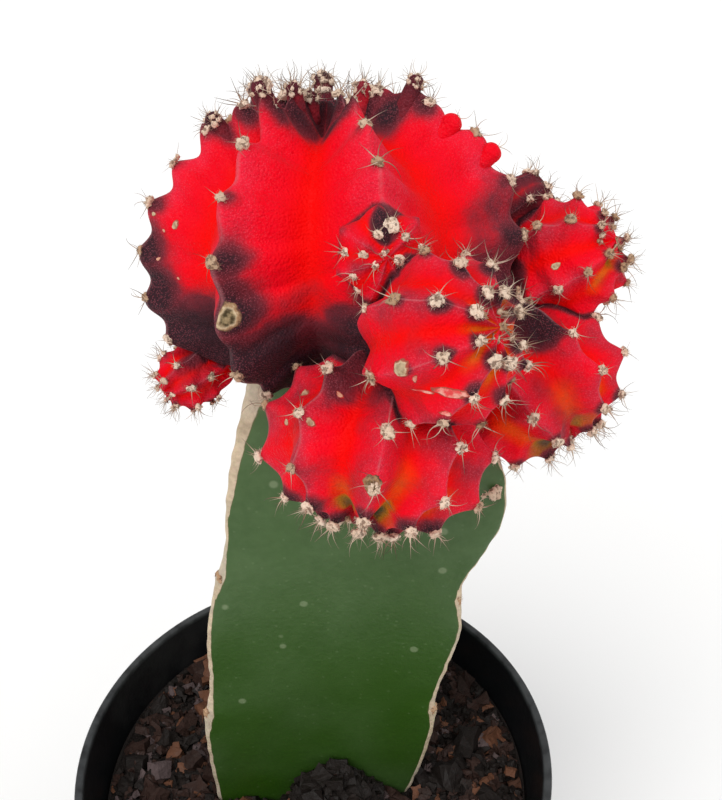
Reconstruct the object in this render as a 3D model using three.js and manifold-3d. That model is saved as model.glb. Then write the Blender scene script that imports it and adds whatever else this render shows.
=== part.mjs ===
// Potted moon cactus: a red ribbed scion with its offsets, grafted on a three-ribbed green rootstock,
// standing in bark compost in a round black nursery pot. Millimetres, +Z up, the origin at the middle
// of the pot's underside, -Y the side that the big offsets hang over.
import * as THREE from "three";
import { mergeVertices } from "three/addons/utils/BufferGeometryUtils.js";
import Module from "manifold-3d";

const wasm = await Module();
wasm.setup();

const DEG = Math.PI / 180;
const GAP = 0.35; // clearance between pieces that touch

// ---- driving dimensions -------------------------------------------------------------------------

const POT = {
  height: 80,
  rimRadius: 44.5,
  baseRadius: 31,
  wall: 1.2,
  floor: 1.6,
  collarHeight: 10,
  collarStep: 1.4,
  drainHoles: 6,
  drainRadius: 3.6,
  segments: 36,
};

// The compost stands a little higher at the wall than at the rootstock, with one heap of bark
// leaning on the rootstock's front.
const SOIL = {
  edge: 71.5,
  middle: 67.8,
  chips: 30,
  chipMin: 4.5,
  chipMax: 9,
  heap: { centre: [4, -5.5], radius: 11, height: 12, chips: 7 },
};

// The rootstock's core line and its three margins. A margin's reach is measured from the core line,
// so the points [z, reach] are the wing's outline, with its swellings at the areoles.
const STEM = {
  foot: 36,
  top: 162.6,
  coreY: 8,
  core: [[36, 0.4], [70, 0.6], [96, 2.0], [120, 4.5], [141, 8.0], [163, 8.6]],
  valley: 0.46, // the face's least reach, as a share of the margins' mean reach
  rings: 21,
  wings: [
    {
      azimuth: 210,
      outline: [[36, 15], [64, 22.2], [72, 22.8], [88, 23.9], [93, 23.7], [101, 22.7], [112, 23.1],
        [117, 22.9], [124, 22.1], [132, 21.2], [140, 21.5], [148, 20.5], [157, 17.9], [163, 16.0]],
    },
    {
      azimuth: 330,
      outline: [[36, 14], [64, 19.0], [76, 21.8], [84, 23.1], [91, 23.7], [97, 23.2], [104, 24.1],
        [112, 25.2], [116, 25.3], [124, 23.6], [132, 25.4], [140, 26.8], [148, 25.6], [157, 21.0],
        [163, 15.0]],
    },
    {
      azimuth: 90,
      outline: [[36, 14], [70, 19.5], [80, 22.2], [88, 21.4], [102, 23.0], [114, 24.4],
        [122, 23.0], [136, 24.6], [145, 23.8], [155, 20.5], [163, 14.0]],
    },
  ],
};

// Every red head is a ribbed globe in its own frame, +Z towards its growing point. `crown` and
// `root` are its half heights above and below the middle, `flat` the power that squares its root
// half, `spin` turns its ribs and `bearings` are where they stand if that is uneven. Areoles lie in
// `rows` along each rib, down to the polar angle `reach`, closer where a rib's `pace` is over 1. They
// stand out by half of `bump`, and the points [row, depth] of `notch` say how deep the rib dips
// between them. Over 1, `lean` moves a dip towards the areole below it and `blunt` rounds the bumps.
// A rib's `slope` is how much of its reach is missing at its shoulder.
const HEADS = [
  {
    name: "scion_head",
    centre: [6.5, 8, 179.5],
    axis: [0, 0.21, 1],
    spin: 0,
    bearings: [-168, -120, -73, -8, 46, 96, 144],
    pace: [1.17, 1.02, 1.2, 0.99, 1, 1.05, 1.1],
    slope: [0.065, 0, 0, 0, 0, 0, 0],
    radius: 25.4,
    crown: 19.8,
    root: 19.2,
    flat: 2.9,
    ribs: 7,
    groove: 0.27,
    rows: 8,
    reach: 138,
    spread: 0.95,
    bump: 1.7,
    notch: [[0, 1.5], [2, 2.1], [3.5, 1.9], [5, 1.6], [8, 1.2]],
    lean: 1.5,
    blunt: 1.4,
    spine: 3.6,
    spines: 3,
  },
  {
    name: "offset_front_lower",
    centre: [11.6, -17.3, 161.2],
    axis: [-0.24, -0.56, -0.8],
    spin: -34,
    bearings: [2, 43, 79, 121, 178, 226, 272, 318],
    radius: 14.8,
    crown: 10.4,
    root: 13.1,
    flat: 2,
    ribs: 8,
    groove: 0.27,
    rows: 5,
    reach: 125,
    spread: 1,
    bump: 0.9,
    notch: [[0, 1.2], [5, 1.7]],
    spine: 3.3,
    spines: 2,
  },
  {
    name: "offset_front",
    centre: [19.8, -20.3, 178.6],
    axis: [0.68, -0.55, 0.48],
    spin: 8,
    bearings: [-10, 46, 90, 130, 176, 221, 266, 303],
    radius: 10.2,
    crown: 8.6,
    root: 10,
    flat: 2,
    ribs: 8,
    groove: 0.22,
    rows: 4,
    reach: 108,
    spread: 1,
    bump: 0.6,
    notch: [[0, 0.9], [4, 0.9]],
    spine: 3.1,
    spines: 2,
  },
  {
    name: "offset_right_lower",
    centre: [35.5, -0.6, 158.9],
    axis: [0.55, -0.51, -0.66],
    spin: -52,
    bearings: [0, 51, 103, 157, 197, 248, 309],
    radius: 12.8,
    crown: 9.1,
    root: 15,
    flat: 2,
    ribs: 7,
    groove: 0.27,
    rows: 4,
    reach: 108,
    spread: 1,
    bump: 0.8,
    notch: [[0, 1.2], [4, 1.5]],
    spine: 3.1,
    spines: 2,
  },
  {
    name: "offset_right_upper",
    centre: [39.7, 8.3, 175.2],
    axis: [0.74, -0.39, 0.55],
    spin: -7,
    bearings: [0, 51, 103, 150, 196, 256, 309],
    radius: 9.1,
    crown: 8.4,
    root: 13,
    flat: 2,
    ribs: 7,
    groove: 0.22,
    rows: 4,
    reach: 112,
    spread: 1,
    bump: 0.6,
    notch: [[0, 1], [4, 1.2]],
    spine: 3,
    spines: 2,
  },
  {
    name: "offset_left",
    centre: [-14.5, 2.2, 161],
    axis: [-0.78, -0.59, -0.21],
    spin: 9,
    radius: 5.1,
    crown: 4.9,
    root: 7.5,
    flat: 2,
    ribs: 8,
    groove: 0.24,
    rows: 3,
    reach: 105,
    spread: 1,
    bump: 0.45,
    notch: [[0, 0.8], [3, 0.8]],
    spine: 2.6,
    spines: 2,
  },
  {
    name: "offset_young",
    centre: [13.0, -14.4, 186.4],
    axis: [0.15, -0.95, 0.25],
    spin: 0,
    radius: 5.6,
    crown: 2.8,
    root: 6,
    flat: 2,
    ribs: 7,
    groove: 0.14,
    rows: 2,
    reach: 88,
    spread: 1,
    bump: 0.4,
    notch: [[0, 0.5], [2, 0.6]],
    spine: 2.3,
    spines: 2,
  },
  {
    name: "offset_back_right",
    centre: [34.6, 16, 181],
    axis: [0.8, 0.3, 0.5],
    spin: 0,
    radius: 4.6,
    crown: 4.2,
    root: 8,
    flat: 2,
    ribs: 7,
    groove: 0.2,
    rows: 2,
    reach: 95,
    spread: 1,
    bump: 0.35,
    notch: [[0, 0.6], [2, 0.6]],
    spine: 2.3,
    spines: 2,
  },
];

// Round buds on the crown of the big head, each on a short cone: how many ribs round from the
// first, the polar angle of its foot, its own radius and how far it stands out. A whole number of
// ribs sets it on an areole, a half in a groove.
const BUDS = [
  { rib: 0, polar: 44, radius: 1.2, out: 1.7 },
  { rib: 0.1, polar: 37, radius: 1.5, out: 0.3 },
  { rib: 0.95, polar: 36, radius: 1.3, out: 3.2 },
  { rib: 1, polar: 22, radius: 1.1, out: 0.9 },
  { rib: 1, polar: 13, radius: 1.1, out: 1 },
  { rib: 5, polar: 20, radius: 1.5, out: 1.2 },
  { rib: 3, polar: 14, radius: 1.4, out: 1.6 },
  { rib: 3, polar: 31, radius: 1.1, out: 3.4 },
  { rib: 3, polar: 48, radius: 1.8, out: 1 },
  { rib: 3, polar: 63, radius: 1.8, out: 1.2 },
  { rib: 4, polar: 28, radius: 1.3, out: 1.4 },
  { rib: 6, polar: 33, radius: 1.3, out: 1.1 },
];

const SPINE_RADIUS = 0.24;

// ---- small tools --------------------------------------------------------------------------------

// The same number from 0 to 1 for the same seed.
function draw(seed) {
  const x = Math.sin(seed * 12.9898 + 78.233) * 43758.5453;
  return x - Math.floor(x);
}

// A smooth curve through [x, y] points, level where it runs past them.
function along(points, x) {
  const last = points.length - 1;
  if (x <= points[0][0]) return points[0][1];
  if (x >= points[last][0]) return points[last][1];
  const slope = (i) => {
    const [xa, ya] = points[Math.max(i - 1, 0)];
    const [xb, yb] = points[Math.min(i + 1, last)];
    return (yb - ya) / (xb - xa);
  };
  const i = points.findIndex((point) => point[0] > x) - 1;
  const [x0, y0] = points[i];
  const [x1, y1] = points[i + 1];
  const run = x1 - x0;
  const t = (x - x0) / run;
  const ease = 3 * t ** 2 - 2 * t ** 3;
  const bend = t * (1 - t) * ((1 - t) * slope(i) - t * slope(i + 1));
  return y0 + (y1 - y0) * ease + run * bend;
}

// A point in polar form: its reach from the origin, its bearing in the XY plane and its angle from +Z.
function polarPoint(reach, bearing, polar) {
  return new THREE.Vector3(
    reach * Math.sin(polar) * Math.cos(bearing),
    reach * Math.sin(polar) * Math.sin(bearing),
    reach * Math.cos(polar),
  );
}

// A closed skin: a sphere's net with each knot moved to at(column, band). Columns run round, and
// bands run from the upper pole to the lower one.
function skin(columns, bands, at) {
  const g = new THREE.SphereGeometry(1, columns, bands);
  const { position, uv } = g.attributes;
  for (let i = 0; i < position.count; i++) {
    const column = Math.round(uv.getX(i) * columns) % columns;
    const band = Math.round((1 - uv.getY(i)) * bands);
    const point = at(column, band);
    position.setXYZ(i, point.x, point.y, point.z);
  }
  return g;
}

function lathe(profile, segments) {
  const points = profile.map(([r, z]) => new THREE.Vector2(r, z));
  return new THREE.LatheGeometry(points, segments).rotateX(Math.PI / 2);
}

function solidOf(geometry) {
  geometry.deleteAttribute("normal");
  geometry.deleteAttribute("uv");
  const g = mergeVertices(geometry, 1e-4);
  return new wasm.Manifold(
    new wasm.Mesh({
      numProp: 3,
      vertProperties: g.attributes.position.array,
      triVerts: new Uint32Array(g.index.array),
    }),
  );
}

// The largest closed body of a solid, as a geometry: scraps that a cut leaves behind are dropped.
function geometryOf(solid) {
  const whole = solid.decompose().reduce((a, b) => (a.volume() > b.volume() ? a : b));
  const mesh = whole.getMesh();
  const g = new THREE.BufferGeometry();
  g.setAttribute("position", new THREE.BufferAttribute(mesh.vertProperties, mesh.numProp));
  g.setIndex(new THREE.BufferAttribute(mesh.triVerts, 1));
  g.computeVertexNormals();
  return g;
}

// ---- pot ----------------------------------------------------------------------------------------

// The outer wall's radius at height z, without the collar.
function potOuter(z) {
  const top = POT.rimRadius - POT.collarStep;
  return POT.baseRadius + ((top - POT.baseRadius) * z) / POT.height;
}

function potSolid() {
  const { height, rimRadius, baseRadius, wall, floor } = POT;
  const collar = height - POT.collarHeight;
  const lip = 0.5;
  const chamfer = 1.4;
  const profile = [
    [0, 0],
    [baseRadius - chamfer, 0],
    [baseRadius, chamfer],
    [potOuter(collar), collar],
    [rimRadius - lip, collar + lip],
    [rimRadius - lip, height - 1.8],
    [rimRadius, height - 1.3],
    [rimRadius, height - 0.3],
    [rimRadius - 0.3, height],
    [rimRadius - wall - 0.2, height],
    [rimRadius - wall - lip, height - 1.2],
    [potOuter(collar) - wall, collar - 1],
    [potOuter(floor + chamfer) - wall, floor + chamfer],
    [baseRadius - wall - chamfer, floor],
    [0, floor],
  ];
  let pot = solidOf(lathe(profile, POT.segments));
  for (let i = 0; i < POT.drainHoles; i++) {
    const hole = new THREE.CylinderGeometry(POT.drainRadius, POT.drainRadius, 12, 8);
    hole.rotateZ(Math.PI / 2);
    hole.translate(baseRadius, 0, 1.2);
    hole.rotateZ(((i + 0.5) / POT.drainHoles) * 2 * Math.PI);
    pot = pot.subtract(solidOf(hole));
  }
  return pot;
}

// ---- rootstock ----------------------------------------------------------------------------------

const STEM_STEPS = [0, 8, 26, 60, 94, 112]; // bearings of a ring's points past each margin, degrees
const STEM_BLUNT = 5; // how far round a margin's edge is blunted, degrees

// The stem's reach from its core line at a bearing in degrees and a height.
function stemReach(bearing, z) {
  const [near, far] = STEM.wings
    .map((wing) => ({
      off: Math.abs(((bearing - wing.azimuth + 540) % 360) - 180),
      reach: along(wing.outline, z),
    }))
    .sort((a, b) => a.off - b.off);
  const middle = (STEM.valley * (near.reach + far.reach)) / 2;
  const turn = (Math.hypot(near.off, STEM_BLUNT) - STEM_BLUNT) * DEG;
  const half = 60 * DEG;
  return Math.sin(half) / (Math.sin(half - turn) / near.reach + Math.sin(turn) / middle);
}

// The stem with its skin moved out by `extra`.
function stemGeometry(extra = 0) {
  const steps = STEM_STEPS.length;
  const bands = STEM.rings + 2;
  return skin(3 * steps, bands, (column, band) => {
    const ring = THREE.MathUtils.clamp((band - 1) / STEM.rings, 0, 1);
    const z = STEM.top - ring * (STEM.top - STEM.foot);
    const bearing = 90 + 120 * Math.floor(column / steps) + STEM_STEPS[column % steps];
    const end = band === 0 || band === bands;
    const reach = end ? 0 : stemReach(bearing % 360, z) + extra;
    return new THREE.Vector3(
      along(STEM.core, z) + reach * Math.cos(bearing * DEG),
      STEM.coreY + reach * Math.sin(bearing * DEG),
      z + extra * Math.sign(0.5 - ring),
    );
  });
}

// True if a point is inside the stem, or within `margin` of it.
function insideStem(point, margin) {
  if (point.z > STEM.top + margin) return false;
  const x = point.x - along(STEM.core, point.z);
  const y = point.y - STEM.coreY;
  const bearing = (Math.atan2(y, x) / DEG + 360) % 360;
  return Math.hypot(x, y) < stemReach(bearing, point.z) + margin;
}

// ---- compost ------------------------------------------------------------------------------------

// The compost's level at a place in the pot.
function soilLevel(x, y) {
  const { edge, middle, heap } = SOIL;
  const out = Math.hypot(x, y) / POT.rimRadius;
  const near = Math.hypot(x - heap.centre[0], y - heap.centre[1]) / heap.radius;
  return middle + (edge - middle) * out ** 2 + heap.height * Math.max(0, 1 - near);
}

// A rough flake of bark, lying nearly flat.
function chipGeometry(seed) {
  const size = SOIL.chipMin + (SOIL.chipMax - SOIL.chipMin) * draw(seed) ** 2;
  const g = new THREE.BoxGeometry(size, size * 0.55, size * 0.4);
  const { position } = g.attributes;
  for (let i = 0; i < position.count; i++) {
    const x = position.getX(i);
    const y = position.getY(i);
    const z = position.getZ(i);
    const corner = Math.sign(x) + 3 * Math.sign(y) + 9 * Math.sign(z);
    const grow = 0.7 + 0.5 * draw(seed * 31 + corner);
    position.setXYZ(i, x * grow, y * grow, z * grow);
  }
  g.rotateX(draw(seed + 0.1) - 0.5);
  g.rotateY(0.8 * (draw(seed + 0.2) - 0.5));
  return g.rotateZ(draw(seed + 0.3) * 2 * Math.PI);
}

function soilSolid(stemHole) {
  const inner = (z) => potOuter(z) - POT.wall - GAP;
  const bottom = POT.floor + GAP;
  const turn = bottom + 1.6;
  const brim = SOIL.edge - 1;
  const profile = [
    [0, bottom],
    [inner(bottom) - 1.8, bottom],
    [inner(turn) - 0.2, turn],
    [inner(brim), brim],
    [inner(brim) - 2, SOIL.edge],
    [inner(brim) * 0.55, SOIL.middle + 0.6],
    [0, SOIL.middle],
  ];
  let soil = solidOf(lathe(profile, POT.segments));
  const { heap } = SOIL;
  const cone = new THREE.ConeGeometry(heap.radius, heap.height, 9).rotateX(Math.PI / 2);
  cone.translate(heap.centre[0], heap.centre[1], SOIL.middle + heap.height / 2 - 0.4);
  soil = soil.add(solidOf(cone));

  // Both the bed and the heap take their flakes on a sunflower spiral.
  const golden = Math.PI * (3 - Math.sqrt(5));
  const scatter = (count, spread, centre, firstSeed) => {
    for (let i = 0; i < count; i++) {
      const out = spread * Math.sqrt((i + 0.6) / count);
      const x = centre[0] + out * Math.cos(i * golden);
      const y = centre[1] + out * Math.sin(i * golden);
      const lift = 0.5 + draw(firstSeed + i + 0.9);
      const chip = chipGeometry(firstSeed + i).translate(x, y, soilLevel(x, y) + lift);
      soil = soil.add(solidOf(chip));
    }
  };
  scatter(SOIL.chips, inner(SOIL.edge) - SOIL.chipMax * 0.75, [0, 0], 1);
  scatter(heap.chips, heap.radius * 0.7, heap.centre, 101);
  return soil.subtract(stemHole);
}

// ---- red heads ----------------------------------------------------------------------------------

const RIB_COLUMNS = 4; // a ridge, a side, a groove and a side
const ROW_BANDS = 2; // an areole's point and the notch below it
const CROWN_DIP = { depth: 0.1, angle: 22 * DEG }; // the hollow at a growing point
const SHOULDER = { polar: 55 * DEG, spread: 28 * DEG }; // where a rib with a slope falls away

// The bearing of a head's rib in radians. Rib numbers may run past the last, or lie between two.
function ribBearing(head, rib) {
  const turns = Math.floor(rib / head.ribs);
  const whole = Math.floor(rib) - turns * head.ribs;
  const at = (i) => {
    if (!head.bearings) return (i * 360) / head.ribs;
    return head.bearings[i % head.ribs] + (i >= head.ribs ? 360 : 0);
  };
  const part = rib - Math.floor(rib);
  return (at(whole) + part * (at(whole + 1) - at(whole)) + turns * 360) * DEG;
}

// Which rib a bearing lies at, with a fraction between ribs.
function ribAt(head, bearing) {
  const full = 2 * Math.PI;
  const first = ribBearing(head, 0);
  const turned = first + ((((bearing - first) % full) + full) % full);
  let rib = 0;
  while (rib < head.ribs - 1 && ribBearing(head, rib + 1) <= turned) rib += 1;
  const start = ribBearing(head, rib);
  return rib + (turned - start) / (ribBearing(head, rib + 1) - start);
}

// A value at a rib number, from a list with a value for each rib.
function byRib(head, values, rib) {
  const whole = Math.floor(rib);
  const at = (i) => values[(i + head.ribs) % head.ribs];
  return at(whole) + (rib - whole) * (at(whole + 1) - at(whole));
}

// How close the rows lie at a rib number, against the head's own rows.
function paceAt(head, rib) {
  return head.pace ? byRib(head, head.pace, rib) : 1;
}

// The polar angle of a row of areoles on a rib, and the row at a polar angle.
function rowAngle(head, rib, row) {
  return head.reach * DEG * (row / (head.rows * paceAt(head, rib))) ** head.spread;
}

function rowAt(head, rib, polar) {
  return head.rows * paceAt(head, rib) * (polar / (head.reach * DEG)) ** (1 / head.spread);
}

// The head's reach from its middle at a rib number and a polar angle.
function headReach(head, rib, polar) {
  const upper = polar < Math.PI / 2;
  const power = upper ? 2 : head.flat;
  const height = upper ? head.crown : head.root;
  const across = Math.sin(polar) / head.radius;
  const rise = Math.abs(Math.cos(polar)) / height;
  const globe = (across ** power + rise ** power) ** (-1 / power);

  const part = rib - Math.floor(rib);
  const off = 1 - Math.abs(2 * part - 1); // 0 on a ridge, 1 in a groove
  const whole = Math.floor(rib);
  const half = (ribBearing(head, whole + 1) - ribBearing(head, whole)) / 2;
  const fadeTop = Math.min(1, polar / (14 * DEG));
  const fadeFoot = Math.min(1, (Math.PI - polar) / (50 * DEG));
  const valley = 1 - head.groove;
  const chord = Math.sin(half) / (Math.sin(half * (1 - off)) + Math.sin(half * off) / valley);
  const shoulder = Math.exp(-(((polar - SHOULDER.polar) / SHOULDER.spread) ** 2));
  const missing = head.slope ? byRib(head, head.slope, rib) * shoulder : 0;
  const lobe = 1 + (chord - 1 - missing) * fadeTop * fadeFoot;

  const row = rowAt(head, rib, polar);
  const past = row - 0.35 * off - Math.floor(row - 0.35 * off);
  const between = Math.sin(Math.PI * past ** (head.lean ?? 1)) ** (head.blunt ?? 1);
  const swell = head.bump / 2 - along(head.notch, row) * between;
  const young = Math.min(1, row);
  const old = THREE.MathUtils.clamp(head.rows + 1 - row, 0, 1);
  const bump = swell * (1 - off) * young * old;

  const dip = 1 - CROWN_DIP.depth * Math.exp(-((polar / CROWN_DIP.angle) ** 2));
  return globe * lobe * dip + bump;
}

// Turns and moves a head's own frame to its place on the plant.
function headFrame(head) {
  const up = new THREE.Vector3(0, 0, 1);
  const axis = new THREE.Vector3(...head.axis).normalize();
  return new THREE.Matrix4()
    .makeRotationFromQuaternion(new THREE.Quaternion().setFromUnitVectors(up, axis))
    .multiply(new THREE.Matrix4().makeRotationZ(head.spin * DEG))
    .setPosition(...head.centre);
}

// A point in the head's own frame, `extra` outside its surface.
function onHead(head, rib, polar, extra = 0) {
  return polarPoint(headReach(head, rib, polar) + extra, ribBearing(head, rib), polar);
}

// The head with its surface moved out by `extra`, in its place.
function headGeometry(head, extra = 0) {
  const rowBands = head.rows * ROW_BANDS;
  const reach = head.reach * DEG;
  const bands = rowBands + Math.max(2, Math.round(((Math.PI - reach) / reach) * rowBands));
  const dip = 0.5 ** (1 / (head.lean ?? 1)); // where the notch below an areole is deepest
  const g = skin(head.ribs * RIB_COLUMNS, bands, (column, band) => {
    const rib = column / RIB_COLUMNS;
    const below = (band - rowBands) / (bands - rowBands);
    const row = Math.floor(band / ROW_BANDS) + (band % ROW_BANDS) * dip;
    const last = rowAngle(head, rib, head.rows);
    const polar = below <= 0 ? rowAngle(head, rib, row) : last + (Math.PI - last) * below;
    return onHead(head, rib, polar, extra);
  });
  return g.applyMatrix4(headFrame(head));
}

// True if a point is inside a placed head, or within `margin` of it.
function insideHead({ head, inverse }, point, margin) {
  const p = point.clone().applyMatrix4(inverse);
  const reach = p.length();
  const rib = ribAt(head, Math.atan2(p.y, p.x));
  return reach < headReach(head, rib, Math.acos(p.z / reach)) + margin;
}

// A three-sided needle, its root sunk into what it grows from.
function needleGeometry(foot, direction, length) {
  const sunk = 0.8;
  const g = new THREE.ConeGeometry(SPINE_RADIUS, length + sunk, 3);
  g.translate(0, (length - sunk) / 2, 0);
  const up = new THREE.Vector3(0, 1, 0);
  g.applyQuaternion(new THREE.Quaternion().setFromUnitVectors(up, direction));
  return g.translate(foot.x, foot.y, foot.z);
}

// A ring of spines round an areole: each has a foot, a direction and a length. Their feet stand a
// little apart.
function areoleSpines(foot, out, head, seed) {
  const side = new THREE.Vector3(-out.y, out.x, 0).normalize();
  const down = new THREE.Vector3().crossVectors(side, out);
  return Array.from({ length: head.spines }, (_, k) => {
    const key = seed + k / 7;
    const round = ((k + 0.1 + 0.6 * draw(key)) / head.spines) * 2 * Math.PI;
    const lean = (38 + 22 * draw(key + 0.5)) * DEG;
    const direction = out.clone().multiplyScalar(Math.cos(lean))
      .addScaledVector(side, Math.sin(lean) * Math.cos(round))
      .addScaledVector(down, Math.sin(lean) * Math.sin(round));
    const own = foot.clone().addScaledVector(direction, 0.6).addScaledVector(out, -0.9);
    return { foot: own, direction, length: head.spine * (0.8 + 0.4 * draw(key + 0.8)) };
  });
}

// Every spine of one head, in its own frame.
function headSpines(head) {
  const spines = [];
  for (let rib = 0; rib < head.ribs; rib++) {
    for (let row = 1; row <= head.rows; row++) {
      const polar = rowAngle(head, rib, row);
      const height = polar < Math.PI / 2 ? head.crown : head.root;
      const out = polarPoint(1, ribBearing(head, rib), polar);
      out.divide(new THREE.Vector3(head.radius, head.radius, height)).normalize();
      spines.push(...areoleSpines(onHead(head, rib, polar), out, head, head.radius + rib * 13 + row));
    }
  }
  return spines;
}

// ---- buds on the crown --------------------------------------------------------------------------

// The buds of the big head in its own frame: their solids, and the spines at their tips.
function crownBuds(head) {
  const solids = [];
  const spines = [];
  const up = new THREE.Vector3(0, 1, 0);
  BUDS.forEach(({ rib, polar, radius, out }, i) => {
    const foot = onHead(head, rib, polar * DEG);
    const direction = polarPoint(1, ribBearing(head, rib), polar * 0.8 * DEG);
    const turn = new THREE.Quaternion().setFromUnitVectors(up, direction);
    const sunk = 1.2;
    const outline = [
      [0, -sunk],
      [radius * 1.7, -sunk],
      [radius * 0.75, out - radius * 0.75],
      [radius, out],
      [radius * 0.6, out + radius * 0.8],
      [0, out + radius],
    ];
    const bud = new THREE.LatheGeometry(outline.map(([r, y]) => new THREE.Vector2(r, y)), 6);
    solids.push(solidOf(bud.applyQuaternion(turn).translate(foot.x, foot.y, foot.z)));
    const tip = foot.clone().addScaledVector(direction, out + radius);
    spines.push(...areoleSpines(tip, direction, { spines: 2, spine: 2.6 }, 200 + i));
  });
  return { solids, spines };
}

// ---- the plant ----------------------------------------------------------------------------------

const stemHole = solidOf(stemGeometry(GAP));
const placed = HEADS.map((head) => ({ head, inverse: headFrame(head).invert() }));
const SPINE_CLEARANCE = 0.9;

// Heads are made from the first to the last. Each is cut clear of the rootstock and of the earlier
// ones, so that pressed neighbours lie flat against each other. A spine that would reach into
// another piece is left out.
function headSolid(index) {
  const { head } = placed[index];
  const frame = headFrame(head);
  const buds = index === 0 ? crownBuds(head) : { solids: [], spines: [] };
  let body = solidOf(headGeometry(head));
  for (const bud of buds.solids) body = body.add(bud.transform(frame.elements));
  body = body.subtract(stemHole);
  for (let i = 0; i < index; i++) body = body.subtract(solidOf(headGeometry(placed[i].head, GAP)));

  const others = placed.filter((_, i) => i !== index);
  for (const { foot, direction, length } of [...headSpines(head), ...buds.spines]) {
    const crosses = [0, 0.5, 1].some((part) => {
      const point = foot.clone().addScaledVector(direction, part * length).applyMatrix4(frame);
      return insideStem(point, SPINE_CLEARANCE)
        || others.some((other) => insideHead(other, point, SPINE_CLEARANCE));
    });
    if (crosses) continue;
    body = body.add(solidOf(needleGeometry(foot, direction, length).applyMatrix4(frame)));
  }
  return body;
}

// ---- materials and assembly ---------------------------------------------------------------------

const materials = {
  pot: new THREE.MeshStandardMaterial({ color: 0x15171a, roughness: 0.45, metalness: 0 }),
  compost: new THREE.MeshStandardMaterial({ color: 0x2e1f18, roughness: 0.95, metalness: 0 }),
  rootstock: new THREE.MeshStandardMaterial({ color: 0x3f5f2c, roughness: 0.5, metalness: 0 }),
  scion: new THREE.MeshStandardMaterial({ color: 0xd3132a, roughness: 0.55, metalness: 0 }),
};

const plant = new THREE.Group();

function place(name, solid, material) {
  const mesh = new THREE.Mesh(geometryOf(solid), material);
  mesh.name = name;
  plant.add(mesh);
}

place("pot", potSolid(), materials.pot);
place("compost", soilSolid(stemHole), materials.compost);
place("rootstock", solidOf(stemGeometry()), materials.rootstock);
placed.forEach(({ head }, i) => place(head.name, headSolid(i), materials.scion));

export default plant;
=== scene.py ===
"""Potted moon cactus: its finished surfaces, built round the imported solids.

A red ribbed head with its offsets, grafted on a three-ribbed green rootstock that stands in bark
compost in a black nursery pot. Sizes are written in millimetres and made metres by MM.
"""
import math

import bmesh
import bpy
import numpy as np
from mathutils import Matrix, Vector


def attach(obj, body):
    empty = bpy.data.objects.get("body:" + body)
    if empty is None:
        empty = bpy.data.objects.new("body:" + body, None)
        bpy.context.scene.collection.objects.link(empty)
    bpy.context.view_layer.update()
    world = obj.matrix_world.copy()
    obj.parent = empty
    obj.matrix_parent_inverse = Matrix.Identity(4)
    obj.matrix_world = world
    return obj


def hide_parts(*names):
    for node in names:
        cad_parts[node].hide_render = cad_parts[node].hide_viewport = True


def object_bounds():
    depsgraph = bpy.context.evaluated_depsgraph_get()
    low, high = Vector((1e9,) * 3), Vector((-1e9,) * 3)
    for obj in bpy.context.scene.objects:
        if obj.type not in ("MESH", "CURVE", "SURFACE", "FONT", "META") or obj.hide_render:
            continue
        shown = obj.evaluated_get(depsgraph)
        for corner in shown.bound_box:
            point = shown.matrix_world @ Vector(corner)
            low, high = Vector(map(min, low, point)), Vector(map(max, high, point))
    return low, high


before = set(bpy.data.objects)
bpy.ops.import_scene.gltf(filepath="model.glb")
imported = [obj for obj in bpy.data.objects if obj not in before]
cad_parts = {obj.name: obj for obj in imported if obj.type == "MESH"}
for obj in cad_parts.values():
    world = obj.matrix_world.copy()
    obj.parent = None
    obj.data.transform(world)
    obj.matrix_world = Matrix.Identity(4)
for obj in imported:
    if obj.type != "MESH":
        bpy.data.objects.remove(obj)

cad_box = [list(corner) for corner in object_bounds()]

MM = 0.001
TAU = 2 * math.pi


# ---- sizes ---------------------------------------------------------------------------------------

POT = {
    "height": 80,
    "rim_radius": 44.5,
    "base_radius": 31,
    "wall": 1.2,
    "floor": 1.6,
    "collar_height": 10,
    "collar_step": 1.4,
    "drain_holes": 6,
    "drain_radius": 3.6,
    "columns": 144,
}

SOIL = {
    "edge": 71.5,
    "middle": 67.8,
    "gap": 0.35,
    "heap": {"centre": (4, -5.5), "radius": 11, "height": 12},
}

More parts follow.
